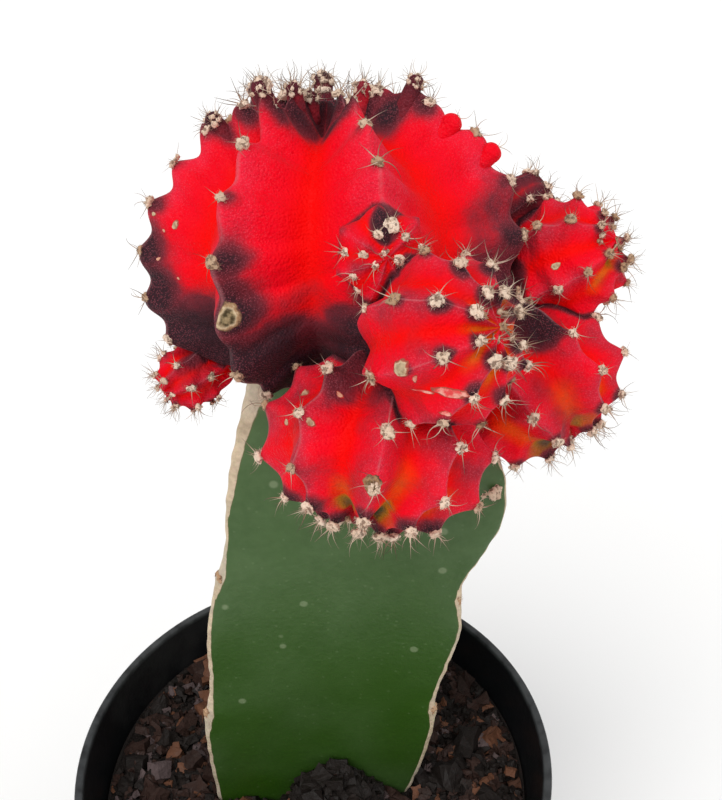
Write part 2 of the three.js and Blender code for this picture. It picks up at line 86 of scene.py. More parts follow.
STEM = {
    "foot": 36,
    "top": 162.6,
    "core_y": 8,
    "core": [(36, 0.4), (70, 0.6), (96, 2.0), (120, 4.5), (141, 8.0), (163, 8.6)],
    "valley": 0.46,
    "blunt": 1.4,
    "wings": [
        {
            "azimuth": 210,
            "outline": [(36, 15), (64, 22.2), (72, 22.8), (88, 23.9), (93, 23.7), (101, 22.7),
                        (112, 23.1), (117, 22.9), (124, 22.1), (132, 21.2), (140, 21.5),
                        (148, 20.5), (157, 17.9), (163, 16.0)],
            "areoles": [94, 126.5],
            "cork": [(36, 0.3), (64, 0.55), (89, 0.55), (94, 1.5), (99, 0.5), (116, 0.45),
                     (122, 0.3), (126.5, 1.3), (131, 0.3), (139, 0.3), (143, 0.9), (152, 1.5),
                     (157, 2.2), (163, 4.0)],
        },
        {
            "azimuth": 330,
            "outline": [(36, 14), (64, 19.0), (76, 21.8), (84, 23.1), (91, 23.7), (97, 23.2),
                        (104, 24.1), (112, 25.2), (116, 25.3), (124, 23.6), (132, 25.4),
                        (140, 26.8), (148, 25.6), (157, 21.0), (163, 15.0)],
            "areoles": [94, 121.5],
            "face_areole": (144.5, -2.6),
            "cork": [(36, 0.3), (64, 0.5), (90, 0.55), (94, 1.3), (98, 0.5), (112, 0.45),
                     (118, 0.4), (121.5, 0.9), (125, 0.12), (140, 0.1), (144, 0.15), (148, 0.1),
                     (163, 1.2)],
        },
        {
            "azimuth": 90,
            "outline": [(36, 14), (70, 19.5), (80, 22.2), (88, 21.4), (102, 23.0), (114, 24.4),
                        (122, 23.0), (136, 24.6), (145, 23.8), (155, 20.5), (163, 14.0)],
            "areoles": [80, 114, 137],
            "cork": [(36, 0.35), (76, 0.4), (80, 1.1), (84, 0.4), (110, 0.35), (114, 1.1),
                     (118, 0.4), (134, 0.4), (137, 1.2), (141, 0.4), (152, 1.0), (163, 3.0)],
        },
    ],
}

# The heads' forms are those of the solids. `dusk`, `glow` and `leaf` say where a head is purple-black,
# orange or green: a direction from its middle, how far round the colour starts and ends, and its
# strength. The `dusk` colour is partly the skin's own purple-black and partly painted shade, on the
# sides that a head turns down or towards its neighbours and in the gaps between heads. `patches` are
# the dark stains above the areoles: [row, strength, radius]. `heart` counts the crowded young areoles
# round the growing point, `stain_side` says to which side of each rib the stains lie and `aged` how
# much browner the young wool is. USUAL_HEAD holds what a head doesn't say.
VEIL = ((0, 0, 1), -3.0, -2.0, 0.23)  # a faint purple-black over the whole head
USUAL_HEAD = {"spin": 0, "flat": 2, "spread": 1, "lean": 1, "blunt": 1, "heart": 0, "aged": 0,
              "glow": [], "leaf": []}
HEADS = [USUAL_HEAD | head for head in [
    {
        "name": "scion_head", "centre": (6.5, 8, 179.5), "axis": (0, 0.21, 1),
        "bearings": [-168, -120, -73, -8, 46, 96, 144],
        "pace": [1.17, 1.02, 1.2, 0.99, 1, 1.05, 1.1], "slope": [0.065, 0, 0, 0, 0, 0, 0],
        "stain_side": [0.7, 0.9, -0.6, -1, 0.6, -0.6, 0.5], "radius": 25.4, "crown": 19.8,
        "root": 19.2, "flat": 2.9, "ribs": 7, "groove": 0.27, "rows": 8, "reach": 138,
        "spread": 0.95, "bump": 1.7, "notch": [(0, 1.5), (2, 2.1), (3.5, 1.9), (5, 1.6), (8, 1.2)],
        "lean": 1.5, "blunt": 1.4, "spine": 2.9, "wool": 0.85,
        "patches": [(1, 1.1, 2.8), (2, 1.0, 2.6), (3, 0.15, 1.4), (4, 0.8, 1.9), (5, 1.2, 3.7),
                    (6, 1.3, 5.0), (8, 1.1, 5.5)],
        # The dark lower part, the two spots facing the front offsets and the one facing the right
        # offsets are partly purple-black skin and partly painted shade, where the head turns down and
        # where offsets crowd against it.
        "dusk": [((-0.1, -0.3, -1), 0.22, 0.58, 1.2), ((0, 0.15, 1), 0.88, 0.985, 0.95),
                 ((0.14, -0.97, -0.2), 0.955, 0.995, 0.85), ((-0.12, -0.99, -0.05), 0.975, 0.995, 0.4),
                 ((0, 0.5, 1), 0.86, 1.0, 0.8),
                 ((0.97, -0.2, 0.02), 0.88, 0.99, 0.55), ((0.75, 0.6, -0.1), 0.8, 1.0, 0.7)],
    },
    {
        "name": "offset_front_lower", "centre": (11.6, -17.3, 161.2), "axis": (-0.24, -0.56, -0.8),
        "spin": -34, "bearings": [2, 43, 79, 121, 178, 226, 272, 318], "radius": 14.8,
        "crown": 10.4, "root": 13.1, "ribs": 8, "groove": 0.27, "rows": 5, "reach": 125,
        "bump": 0.9, "notch": [(0, 1.2), (5, 1.7)], "spine": 2.7, "wool": 0.8, "heart": 9,
        "patches": [(1, 1.1, 2.4), (2, 1.1, 2.4), (3, 0.45, 1.2), (4, 0.4, 1.2), (5, 0.4, 1.2)],
        # The two spots on top of this offset, where the big head hangs over it, are painted shade laid
        # over some purple-black skin.
        "dusk": [((-0.1, -0.1, 1), 0.85, 0.98, 0.65), ((0.5, 0.1, 0.8), 0.8, 1.0, 0.7), VEIL,
                 ((-0.3, -0.3, -1), 0.84, 1.0, 0.7)],
        "glow": [((0.14, -0.98, 0.08), 0.8, 0.99, 0.68), ((-0.43, -0.88, 0.02), 0.92, 0.995, 0.7),
                 ((0.69, -0.63, -0.36), 0.93, 0.99, 0.95), ((0.1, -1, -0.6), 0.8, 1.0, 0.7)],
        "leaf": [((0.03, -0.99, -0.16), 0.96, 0.999, 0.5), ((0.0, -0.93, -0.36), 0.955, 0.998, 0.8),
                 ((-0.4, -0.91, -0.2), 0.965, 0.999, 0.6)],
    },
    {
        "name": "offset_front", "centre": (19.8, -20.3, 178.6), "axis": (0.68, -0.55, 0.48),
        "spin": 8, "bearings": [-10, 46, 90, 130, 176, 221, 266, 303], "radius": 10.2, "crown": 8.6,
        "root": 10, "ribs": 8, "groove": 0.19, "rows": 4, "reach": 108, "bump": 0.5,
        "notch": [(0, 0.7), (2, 0.7), (4, 0.45)], "spine": 2.6, "wool": 0.75, "heart": 12,
        "patches": [(1, 1.1, 1.6), (2, 1.0, 1.7), (3, 0.6, 1.3), (4, 0.25, 1)],
        "dusk": [((-0.6, 0.2, -0.8), 0.85, 1.0, 0.5), ((0.93, 0.32, 0.2), 0.93, 0.995, 0.9), VEIL],
        "glow": [((0.75, -0.55, 0.25), 0.5, 0.97, 1.05)],
        "leaf": [((0.86, 0.31, 0.41), 0.9, 1.0, 0.4)],
    },
    {
        "name": "offset_right_lower", "centre": (35.5, -0.6, 158.9), "axis": (0.55, -0.51, -0.66),
        "spin": -52, "bearings": [0, 51, 103, 157, 197, 248, 309], "radius": 12.8, "crown": 9.1,
        "root": 15, "ribs": 7, "groove": 0.27, "rows": 4, "reach": 108, "bump": 0.8,
        "notch": [(0, 1.2), (4, 1.5)], "spine": 2.6, "wool": 0.75, "heart": 9,
        "patches": [(1, 1, 2), (2, 0.9, 1.7), (3, 0.3, 1.3), (4, 0.3, 1.3)],
        # The spot facing up is painted shadow, in the gap under the front offset and the big head.
        "dusk": [((0.6, -0.3, -0.6), 0.93, 1.0, 0.6), ((-0.12, -0.06, 1), 0.86, 0.99, 1.0), VEIL],
        "glow": [((0.25, -0.88, 0.33), 0.85, 0.99, 0.62), ((-0.45, -0.86, -0.24), 0.8, 0.98, 0.72),
                 ((0.1, -0.8, -0.6), 0.85, 0.99, 0.8), ((0.9, -0.4, 0.1), 0.75, 1.0, 0.85)],
        "leaf": [((0.68, -0.72, -0.06), 0.93, 0.998, 0.62), ((0.05, -0.73, -0.68), 0.92, 0.998, 0.8)],
    },
    {
        "name": "offset_right_upper", "centre": (39.7, 8.3, 175.2), "axis": (0.74, -0.39, 0.55),
        "spin": -7, "bearings": [0, 51, 103, 150, 196, 256, 309], "radius": 9.1, "crown": 8.4,
        "root": 13, "ribs": 7, "groove": 0.22, "rows": 4, "reach": 112, "bump": 0.6,
        "notch": [(0, 1), (4, 1.2)], "spine": 2.5, "wool": 0.7, "heart": 14,
        "patches": [(1, 0.9, 1.5), (2, 0.4, 1), (3, 0.1, 1), (4, 0.3, 1.2)],
        "aged": 0.55,
        "dusk": [((-0.85, -0.15, -0.25), 0.8, 0.97, 0.95), VEIL],
        "glow": [((0.62, -0.77, -0.12), 0.8, 1.0, 0.95)],
        "leaf": [((0.72, -0.62, 0.25), 0.95, 1.0, 0.5)],
    },
    {
        "name": "offset_left", "centre": (-14.5, 2.2, 161), "axis": (-0.78, -0.59, -0.21),
        "spin": 9, "radius": 5.1, "crown": 4.9, "root": 7.5, "ribs": 8, "groove": 0.24, "rows": 3,
        "reach": 105, "bump": 0.45, "notch": [(0, 0.8), (3, 0.8)], "spine": 2.1, "wool": 0.5,
        "heart": 6,
        "patches": [(1, 0.6, 0.9), (2, 0.6, 0.9), (3, 0.6, 1)],
        "dusk": [((0.4, -0.1, 0.9), 0.5, 1.0, 0.6), ((0, 0, 1), -1.0, 0.0, 0.3)],
    },
    {
        "name": "offset_young", "centre": (13.0, -14.4, 186.4), "axis": (0.15, -0.95, 0.25),
        "radius": 5.6, "crown": 2.8, "root": 6, "ribs": 7, "groove": 0.14, "rows": 2, "reach": 88,
        "bump": 0.4, "notch": [(0, 0.5), (2, 0.6)], "spine": 2.3, "wool": 0.6,
        "patches": [(1, 0.25, 0.8), (2, 0.5, 1.1)],
        "dusk": [((0.04, -0.3, 1), 0.82, 0.96, 1.1), ((0, 0, 1), -1.0, 0.0, 0.3)],
        # The many small areoles of this cluster: bearing, polar angle and size of the wool.
        "areoles": [(86, 67, 1.1), (116, 54, 0.8), (54, 54, 0.75), (178, 80, 0.75),
                    (175, 52, 0.8), (121, 16, 0.7), (-6, 33, 0.75), (-7, 80, 0.9),
                    (-144, 33, 0.75), (-147, 73, 0.75), (-122, 88, 0.7), (-77, 79, 0.9),
                    (-40, 62, 0.6), (20, 74, 0.6)],
    },
    {
        "name": "offset_back_right", "centre": (34.6, 16, 181), "axis": (0.8, 0.3, 0.5),
        "radius": 4.6, "crown": 4.2, "root": 8, "ribs": 7, "groove": 0.2, "rows": 2, "reach": 95,
        "bump": 0.35, "notch": [(0, 0.6), (2, 0.6)], "spine": 2.1, "wool": 0.6,
        "patches": [(1, 0.6, 1.2), (2, 0.6, 1.2)],
        "dusk": [((0, 0, 1), -1.0, 0.2, 0.75)],
    },
]]

# Buds on the big head's crown: rib number, polar angle of the foot, radius, how far each stands out,
# and how dark and how woolly it is. Where the wool is below nought, only the skin rises.
BUDS = [
    (0, 44, 1.15, 1.5, 0.8, 1.0),
    (-0.02, 36, 1.2, 0.6, 0.0, 0.0),
    (0.95, 36, 1.2, 3.3, 0.75, 1.1),
    (1, 22, 1.0, 0.8, 0.8, 1.0),
    (1, 13, 1.0, 1.0, 0.8, 1.0),
    (5, 20, 1.3, 1.2, 0.9, 1.2),
    (3, 14, 1.2, 1.6, 0.45, 0.9),
    (3, 31, 1.1, 3.6, 0.7, 0.9),
    (3, 48, 1.45, 0.8, 0.0, 0.15),
    (3, 63, 1.4, 0.9, 0.05, 0.15),
    (4, 28, 1.2, 1.3, 0.8, 1.0),
    (6, 33, 1.2, 1.1, 0.8, 1.0),
    (1.12, 27, 1.5, 1.1, 0.9, -1),
    (1.78, 30, 1.2, 1.0, 0.8, -1),
    (2.15, 28, 1.3, 1.1, 0.9, -1),
    (2.85, 27, 1.5, 1.2, 0.9, -1),
]

# Old scars: the head, bearing and polar angle of the middle, width and height on the skin, how
# hollow and how pale each is, and how far it's turned.
SCARS = [
    ("scion_head", -117.9, 101.5, 2.2, 3.4, 1.0, 0.22, -18),
    ("scion_head", -158, 80.8, 0.8, 1.4, 0.3, 0.3, 0),
    ("scion_head", -165, 79, 0.6, 0.6, 0.2, 0.3, 0),
    ("scion_head", -162, 83.5, 0.4, 0.5, 0.0, 0.4, 0),
    ("scion_head", -162, 92.5, 0.4, 0.5, 0.0, 0.4, 0),
    ("scion_head", -157, 99, 0.4, 0.5, 0.0, 0.4, 0),
    ("scion_head", 60, 84, 3.0, 3.6, 1.0, 0.2, 20),
    ("scion_head", 118, 66, 1.3, 1.6, 0.4, 0.4, 0),
    ("offset_front", -140.9, 81.7, 2.2, 2.1, 0.45, 0.3, 0),
    # The pale streaks on the front offsets are healed scratches; their brightest parts are a painted
    # glint.
    ("offset_front", -130, 79, 1.5, 0.5, 0.0, 0.7, 40),
    ("offset_front", -106.8, 65.5, 4.4, 1.15, 0.0, 0.9, -53),
    ("offset_front", -116, 82, 2.8, 0.35, 0.0, 0.9, -53),
    ("offset_front", -97.6, 76, 1.6, 0.5, 0.0, 0.8, -50),
    ("offset_front_lower", 80.3, 75, 2.3, 3.0, 0.8, 0.0, 0),
    ("offset_front_lower", 166.2, 117.1, 1.1, 1.5, 0.3, 0.35, 20),
    ("offset_front_lower", 156.3, 103.0, 0.9, 1.3, 0.3, 0.35, 0),
    ("offset_front_lower", 163.6, 95.5, 0.9, 1.0, 0.3, 0.35, 10),
    ("offset_front_lower", 117.3, 97.3, 0.8, 1.1, 0.5, 0.35, 0),
    ("offset_front_lower", 113.4, 118.5, 0.8, 0.7, 0.0, 0.4, 0),
    ("offset_front_lower", 25, 62, 1.5, 0.8, 0.0, 0.8, 70),
    ("offset_right_upper", -123.3, 80.1, 1.0, 1.4, 0.4, 0.25, 0),
]


# ---- small tools ---------------------------------------------------------------------------------

def unit(vector):
    """The vector, or each of many, made length 1."""
    vector = np.asarray(vector, float)
    return vector / np.linalg.norm(vector, axis=-1, keepdims=True)


def ramp(value, low, high):
    """0 below low, 1 above high, smooth between."""
    t = np.clip((value - low) / (high - low), 0, 1)
    return t * t * (3 - 2 * t)


def along(points, x):
    """A smooth curve through (x, y) points, level past its ends."""
    xs, ys = np.array(points, float).T
    x = np.clip(x, xs[0], xs[-1])
    slopes = np.empty(len(xs))
    slopes[1:-1] = (ys[2:] - ys[:-2]) / (xs[2:] - xs[:-2])
    slopes[0] = (ys[1] - ys[0]) / (xs[1] - xs[0])
    slopes[-1] = (ys[-1] - ys[-2]) / (xs[-1] - xs[-2])
    i = np.clip(np.searchsorted(xs, x, side="right") - 1, 0, len(xs) - 2)
    run = xs[i + 1] - xs[i]
    t = (x - xs[i]) / run
    ease = 3 * t**2 - 2 * t**3
    bend = t * (1 - t) * ((1 - t) * slopes[i] - t * slopes[i + 1])
    return ys[i] + (ys[i + 1] - ys[i]) * ease + run * bend


def ripple(places, size, seed, waves=18):
    """Smooth noise from -1 to 1 at places (n, 3), with lumps about `size` across."""
    rng = np.random.default_rng(seed)
    ways = unit(rng.normal(size=(waves, 3))) * rng.uniform(0.6, 1.5, (waves, 1)) * TAU / (2 * size)
    phases = rng.uniform(0, TAU, waves)
    return np.sin(places @ ways.T + phases).sum(axis=1) / math.sqrt(waves / 2) * 0.6


def make_object(name, mesh, material, smooth=True):
    """A visible piece that stands on the plant's body."""
    mesh.polygons.foreach_set("use_smooth", [smooth] * len(mesh.polygons))
    mesh.materials.clear()
    mesh.materials.append(material)
    mesh.update()
    piece = bpy.data.objects.new(name, mesh)
    bpy.context.scene.collection.objects.link(piece)
    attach(piece, "root")
    return piece


def add_numbers(mesh, **values):
    """Stores a number for each vertex under each name."""
    for name, numbers in values.items():
        attribute = mesh.attributes.new(name, "FLOAT", "POINT")
        attribute.data.foreach_set("value", np.asarray(numbers, np.float32))


def add_vectors(mesh, **values):
    """Stores a vector for each vertex under each name."""
    for name, vectors in values.items():
        attribute = mesh.attributes.new(name, "FLOAT_VECTOR", "POINT")
        attribute.data.foreach_set("vector", np.asarray(vectors, np.float32).ravel())


def skin_mesh(name, rings):
    """A closed mesh from rings of points (bands, columns, 3). The first and last ring are poles."""
    bands, columns = rings.shape[:2]
    inner = rings[1:-1].reshape(-1, 3)
    poles = np.array([rings[0, 0], rings[-1, 0]])
    places = np.concatenate([inner, poles])
    top, foot = len(inner), len(inner) + 1
    faces = []
    for column in range(columns):
        after = (column + 1) % columns
        faces.append((top, column, after))
        last = (bands - 3) * columns
        faces.append((foot, last + after, last + column))
    for band in range(bands - 3):
        here = band * columns
        below = here + columns
        faces += [(here + c, below + c, below + (c + 1) % columns, here + (c + 1) % columns)
                  for c in range(columns)]
    mesh = bpy.data.meshes.new(name)
    mesh.from_pydata((places * MM).tolist(), [], faces)
    return mesh, places


# ---- shader tools --------------------------------------------------------------------------------

class Nodes:
    """Short ways to add nodes to one tree and join them."""

    def __init__(self, tree):
        self.tree = tree

    def add(self, kind, inputs=None, **settings):
        node = self.tree.nodes.new(kind)
        for name, value in settings.items():
            setattr(node, name, value)
        for name, value in (inputs or {}).items():
            self.feed(node.inputs[name], value)
        return node

    def feed(self, socket, value):
        if isinstance(value, bpy.types.NodeSocket):
            self.tree.links.new(value, socket)
        else:
            socket.default_value = value

    def math(self, operation, *values, clamp=False):
        node = self.tree.nodes.new("ShaderNodeMath")
        node.operation = operation
        node.use_clamp = clamp
        for socket, value in zip(node.inputs, values):
            self.feed(socket, value)
        return node.outputs[0]

    def mix(self, factor, a, b, blend="MIX"):
        node = self.tree.nodes.new("ShaderNodeMix")
        node.data_type = "RGBA"
        node.blend_type = blend
        self.feed(node.inputs["Factor"], factor)
        self.feed(node.inputs["A"], a)
        self.feed(node.inputs["B"], b)
        return node.outputs["Result"]

    def span(self, value, low, high, to_low=0.0, to_high=1.0):
        node = self.tree.nodes.new("ShaderNodeMapRange")
        node.interpolation_type = "SMOOTHSTEP"
        for name, number in zip(("Value", "From Min", "From Max", "To Min", "To Max"),
                                (value, low, high, to_low, to_high)):
            self.feed(node.inputs[name], number)
        return node.outputs["Result"]

    def noise(self, scale, detail=3.0, roughness=0.55, vector=None):
        node = self.add("ShaderNodeTexNoise",
                        {"Scale": scale, "Detail": detail, "Roughness": roughness})
        self.tree.links.new(vector or self.place(), node.inputs["Vector"])
        return node.outputs["Fac"]

    def over(self, base, mask, amount, colour):
        """A colour laid over the base where the mask is, as strongly as the amount."""
        return self.mix(self.math("MULTIPLY", mask, amount), base, colour)

    def plus(self, value, extra, amount):
        return self.math("ADD", value, self.math("MULTIPLY", extra, amount))

    def centred(self, noise, amount):
        """Noise moved to lie round nought, up to half the amount either way."""
        return self.math("MULTIPLY", self.math("SUBTRACT", noise, 0.5), amount)

    def place(self):
        return self.add("ShaderNodeTexCoord").outputs["Object"]

    def number(self, name):
        return self.add("ShaderNodeAttribute", attribute_name=name).outputs["Fac"]

    def bump(self, height, strength, distance):
        node = self.add("ShaderNodeBump",
                        {"Height": height, "Strength": strength, "Distance": distance})
        return node.outputs["Normal"]

    def group(self, tree, inputs=None):
        node = self.tree.nodes.new("ShaderNodeGroup")
        node.node_tree = tree
        for name, value in (inputs or {}).items():
            self.feed(node.inputs[name], value)
        return node


def new_group(name, inputs, outputs):
    """A shader node group with named inputs, given as name: default, and named outputs."""
    tree = bpy.data.node_groups.new(name, "ShaderNodeTree")
    for label, default in inputs.items():
        kind = "NodeSocketColor" if isinstance(default, tuple) else "NodeSocketFloat"
        tree.interface.new_socket(label, in_out="INPUT", socket_type=kind).default_value = default
    for label, kind in outputs.items():
        tree.interface.new_socket(label, in_out="OUTPUT", socket_type=kind)
    nodes = Nodes(tree)
    return tree, nodes, nodes.add("NodeGroupInput").outputs, nodes.add("NodeGroupOutput").inputs


def new_material(name, **constants):
    """A material with a Principled BSDF whose sockets hold the given numbers and colours."""
    material = bpy.data.materials.new(name)
    material.use_nodes = True
    nodes = Nodes(material.node_tree)
    shader = material.node_tree.nodes["Principled BSDF"]
    for label, value in constants.items():
        shader.inputs[label.replace("_", " ")].default_value = value
    return material, nodes, shader


# ---- shader groups -------------------------------------------------------------------------------

def uneven_group():
    """Breaks up a colour with two sizes of soft cloud."""
    tree, nodes, given, out = new_group(
        "uneven colour",
        {"Colour": (0.5, 0.5, 0.5, 1), "Cloud": (0.4, 0.4, 0.4, 1), "Scale": 120.0, "Amount": 0.5},
        {"Colour": "NodeSocketColor"})
    broad = nodes.span(nodes.noise(given["Scale"]), 0.35, 0.65)
    fine_scale = nodes.math("MULTIPLY", given["Scale"], 5.3)
    fine = nodes.span(nodes.noise(fine_scale), 0.3, 0.7)
    both = nodes.math("MULTIPLY", nodes.math("ADD", broad, fine), 0.5)
    amount = nodes.math("MULTIPLY", both, given["Amount"], clamp=True)
    nodes.feed(out["Colour"], nodes.mix(amount, given["Colour"], given["Cloud"]))
    return tree


def specks_group():
    """Small round specks, some cells only: a mask from 0 to 1."""
    tree, nodes, given, out = new_group(
        "scattered specks",
        {"Scale": 400.0, "Size": 0.25, "Share": 0.4},
        {"Mask": "NodeSocketFloat"})
    cell = nodes.add("ShaderNodeTexVoronoi", {"Scale": given["Scale"]})
    nodes.feed(cell.inputs["Vector"], nodes.place())
    half = nodes.math("MULTIPLY", given["Size"], 0.5)
    dot = nodes.span(cell.outputs["Distance"], given["Size"], half)
    chance = nodes.add("ShaderNodeSeparateColor", {"Color": cell.outputs["Color"]}).outputs["Red"]
    chosen = nodes.math("LESS_THAN", chance, given["Share"])
    nodes.feed(out["Mask"], nodes.math("MULTIPLY", dot, chosen))
    return tree


def grain_group():
    """A height for the fine pebbled grain of plant skin."""
    tree, nodes, given, out = new_group(
        "pebbled grain",
        {"Scale": 2600.0, "Lump": 500.0, "Lumpiness": 0.5},
        {"Height": "NodeSocketFloat"})
    cell = nodes.add("ShaderNodeTexVoronoi", {"Scale": given["Scale"]}, feature="SMOOTH_F1")
    nodes.feed(cell.inputs["Vector"], nodes.place())
    pebble = nodes.math("SUBTRACT", 1.0, cell.outputs["Distance"])
    lump = nodes.math("MULTIPLY", nodes.noise(given["Lump"]), given["Lumpiness"])
    nodes.feed(out["Height"], nodes.math("ADD", pebble, lump))
    return tree


UNEVEN = uneven_group()
SPECKS = specks_group()
GRAIN = grain_group()


# ---- materials -----------------------------------------------------------------------------------

def flesh_material():
    """Red flesh: brighter in its grooves, pinkish and pale-specked on its ridges as painted sheen, with
    a painted highlight along their edges, purple-black round the areoles, and painted shade where heads
    crowd.
    """
    material, nodes, shader = new_material(
        "red flesh", Subsurface_Weight=0.08, Subsurface_Scale=0.003,
        Subsurface_Radius=(1.0, 0.08, 0.08), Specular_IOR_Level=0.06, Sheen_Weight=0.04,
        Sheen_Roughness=0.5, Sheen_Tint=(1.0, 0.55, 0.6, 1))
    ridge = nodes.number("ridge")
    cloud = nodes.noise(170.0, 4.0)
    wander = nodes.centred(cloud, 0.9)

    red = nodes.mix(nodes.span(ridge, 0.05, 0.6), (0.80, 0.0, 0.0, 1), (0.77, 0.0, 0.011, 1))
    # Painted sheen: the ridges turn pinkish, as velvet does where it catches the light.
    pink = nodes.span(nodes.plus(ridge, wander, 0.9), 0.55, 1.05)
    red = nodes.over(red, pink, 0.6, (0.74, 0.022, 0.060, 1))

    glow = nodes.plus(nodes.number("glow"), wander, 0.7)
    orange = nodes.mix(nodes.span(glow, 0.6, 1.1), (0.78, 0.022, 0.0, 1), (0.70, 0.11, 0.002, 1))
    warm = nodes.mix(nodes.span(glow, 0.15, 0.7), red, orange)
    leaf = nodes.plus(nodes.number("leaf"), wander, 0.5)
    green = nodes.mix(nodes.span(leaf, 0.35, 0.85), (0.42, 0.16, 0.006, 1), (0.085, 0.08, 0.033, 1))
    warm = nodes.mix(nodes.span(leaf, 0.1, 0.5), warm, green)

    # Purple-black skin together with painted shade where heads crowd, deepening from maroon to plum.
    dusk = nodes.math("ADD", nodes.number("dusk"), wander)
    maroon = nodes.mix(nodes.span(dusk, 0.08, 0.58), warm, (0.17, 0.018, 0.028, 1))
    plum = nodes.mix(nodes.span(dusk, 0.42, 0.95), maroon, (0.032, 0.012, 0.017, 1))

    # Pale specks of the velvety skin, laid thickest on the ridges: partly its own texture, partly a
    # painted sheen.
    specks_and_sheen = nodes.group(SPECKS, {"Scale": 5200.0, "Size": 0.5, "Share": 0.7}).outputs["Mask"]
    thick = nodes.span(nodes.math("ADD", ridge, wander), 0.25, 1.0, 0.0, 0.17)
    skin = nodes.mix(nodes.math("MULTIPLY", specks_and_sheen, thick), plum, (0.84, 0.18, 0.24, 1))
    # Painted highlight: a pale pink line along the sharpest ridges.
    edge = nodes.math("MULTIPLY", nodes.span(ridge, 0.95, 1.0), nodes.span(cloud, 0.35, 0.65))
    skin = nodes.over(skin, edge, 0.35, (0.50, 0.20, 0.22, 1))
    nodes.feed(shader.inputs["Base Color"], skin)

    nodes.feed(shader.inputs["Roughness"], nodes.span(nodes.noise(600.0), 0.3, 0.7, 0.46, 0.66))
    height = nodes.group(GRAIN, {"Scale": 3400.0, "Lump": 480.0, "Lumpiness": 1.2})
    nodes.feed(shader.inputs["Normal"], nodes.bump(height.outputs["Height"], 0.8, 0.0002))
    return material


def wool_material():
    """Cream felt, tan with age, with brown flecks."""
    material, nodes, shader = new_material("areole wool", Roughness=0.9, Specular_IOR_Level=0.15)
    tone = nodes.plus(nodes.number("tone"), nodes.noise(900.0), 0.6)
    colour = nodes.mix(nodes.span(tone, 0.4, 1.4), (0.80, 0.63, 0.50, 1), (0.42, 0.26, 0.15, 1))
    fleck = nodes.span(nodes.noise(1700.0, 2.0), 0.47, 0.39)
    colour = nodes.over(colour, fleck, 0.8, (0.16, 0.09, 0.06, 1))
    nodes.feed(shader.inputs["Base Color"], colour)
    nodes.feed(shader.inputs["Normal"], nodes.bump(nodes.noise(3200.0), 0.5, 0.0003))
    return material


def spine_material():
    """Cream at the root, grey-brown to nearly black towards the tip."""
    material, nodes, shader = new_material("spine", Roughness=0.55, Specular_IOR_Level=0.3)
    tone = nodes.number("tone")
    reach = nodes.number("along")
    pale = nodes.mix(nodes.span(tone, 0.4, 0.9), (0.60, 0.47, 0.36, 1), (0.28, 0.17, 0.11, 1))
    dark = nodes.mix(nodes.span(tone, 0.2, 0.8), (0.24, 0.17, 0.13, 1), (0.045, 0.024, 0.018, 1))
    nodes.feed(shader.inputs["Base Color"], nodes.mix(nodes.span(reach, 0.2, 0.9), pale, dark))
    nodes.feed(shader.inputs["Normal"], nodes.bump(nodes.noise(2500.0), 0.3, 0.0001))
    return material


def cork_colour(nodes):
    """The tan of old cork, cracked and stained."""
    tan = nodes.group(UNEVEN, {"Colour": (0.64, 0.51, 0.36, 1), "Cloud": (0.32, 0.25, 0.17, 1),
                               "Scale": 260.0, "Amount": 0.8}).outputs["Colour"]
    grey = nodes.span(nodes.noise(90.0), 0.42, 0.62)
    return nodes.over(tan, grey, 0.5, (0.48, 0.44, 0.36, 1))


def cork_material():
    """Scars: a pale ring round a dark hollow, or, where `pale` is high, pale healed scratches whose
    brightest streaks are a painted glint.
    """
    material, nodes, shader = new_material("cork scar", Roughness=0.8, Specular_IOR_Level=0.2)
    grain = nodes.span(nodes.noise(1700.0, 4.0), 0.3, 0.5)
    pale = nodes.number("pale")
    brown = nodes.mix(grain, (0.16, 0.07, 0.03, 1), (0.34, 0.17, 0.08, 1))
    cream = nodes.mix(grain, (0.34, 0.21, 0.11, 1), (0.62, 0.48, 0.31, 1))
    pink = nodes.mix(grain, (0.52, 0.11, 0.07, 1), (0.62, 0.30, 0.20, 1))
    # Healed scratches on the skin, pale pink, their brightest streaks a painted glint.
    scratch_and_glint = nodes.mix(nodes.span(nodes.noise(900.0), 0.4, 0.6), (0.66, 0.06, 0.06, 1),
                        (0.74, 0.33, 0.27, 1))
    colour = nodes.mix(nodes.span(pale, 0.0, 0.2), brown, cream)
    colour = nodes.mix(nodes.span(pale, 0.28, 0.42), colour, pink)
    colour = nodes.mix(nodes.span(pale, 0.6, 0.8), colour, scratch_and_glint)
    hollow = nodes.mix(nodes.span(nodes.noise(1300.0, 4.0), 0.4, 0.65), (0.05, 0.035, 0.014, 1),
                       (0.28, 0.21, 0.11, 1))
    colour = nodes.mix(nodes.number("deep"), colour, hollow)
    ragged = nodes.centred(nodes.noise(1100.0, 3.0), 0.9)
    edge = nodes.math("ADD", nodes.number("edge"), ragged)
    rim = nodes.mix(nodes.span(pale, 0.24, 0.28), (0.12, 0.06, 0.04, 1), (0.56, 0.006, 0.014, 1))
    halo = nodes.mix(nodes.span(pale, 0.24, 0.28), (0.34, 0.21, 0.11, 1), (0.32, 0.07, 0.045, 1))
    colour = nodes.mix(nodes.span(edge, 0.62, 0.8), colour, halo)
    colour = nodes.mix(nodes.span(edge, 0.82, 0.98), colour, rim)
    nodes.feed(shader.inputs["Base Color"], colour)
    nodes.feed(shader.inputs["Normal"], nodes.bump(nodes.noise(2200.0), 0.7, 0.0003))
    return material


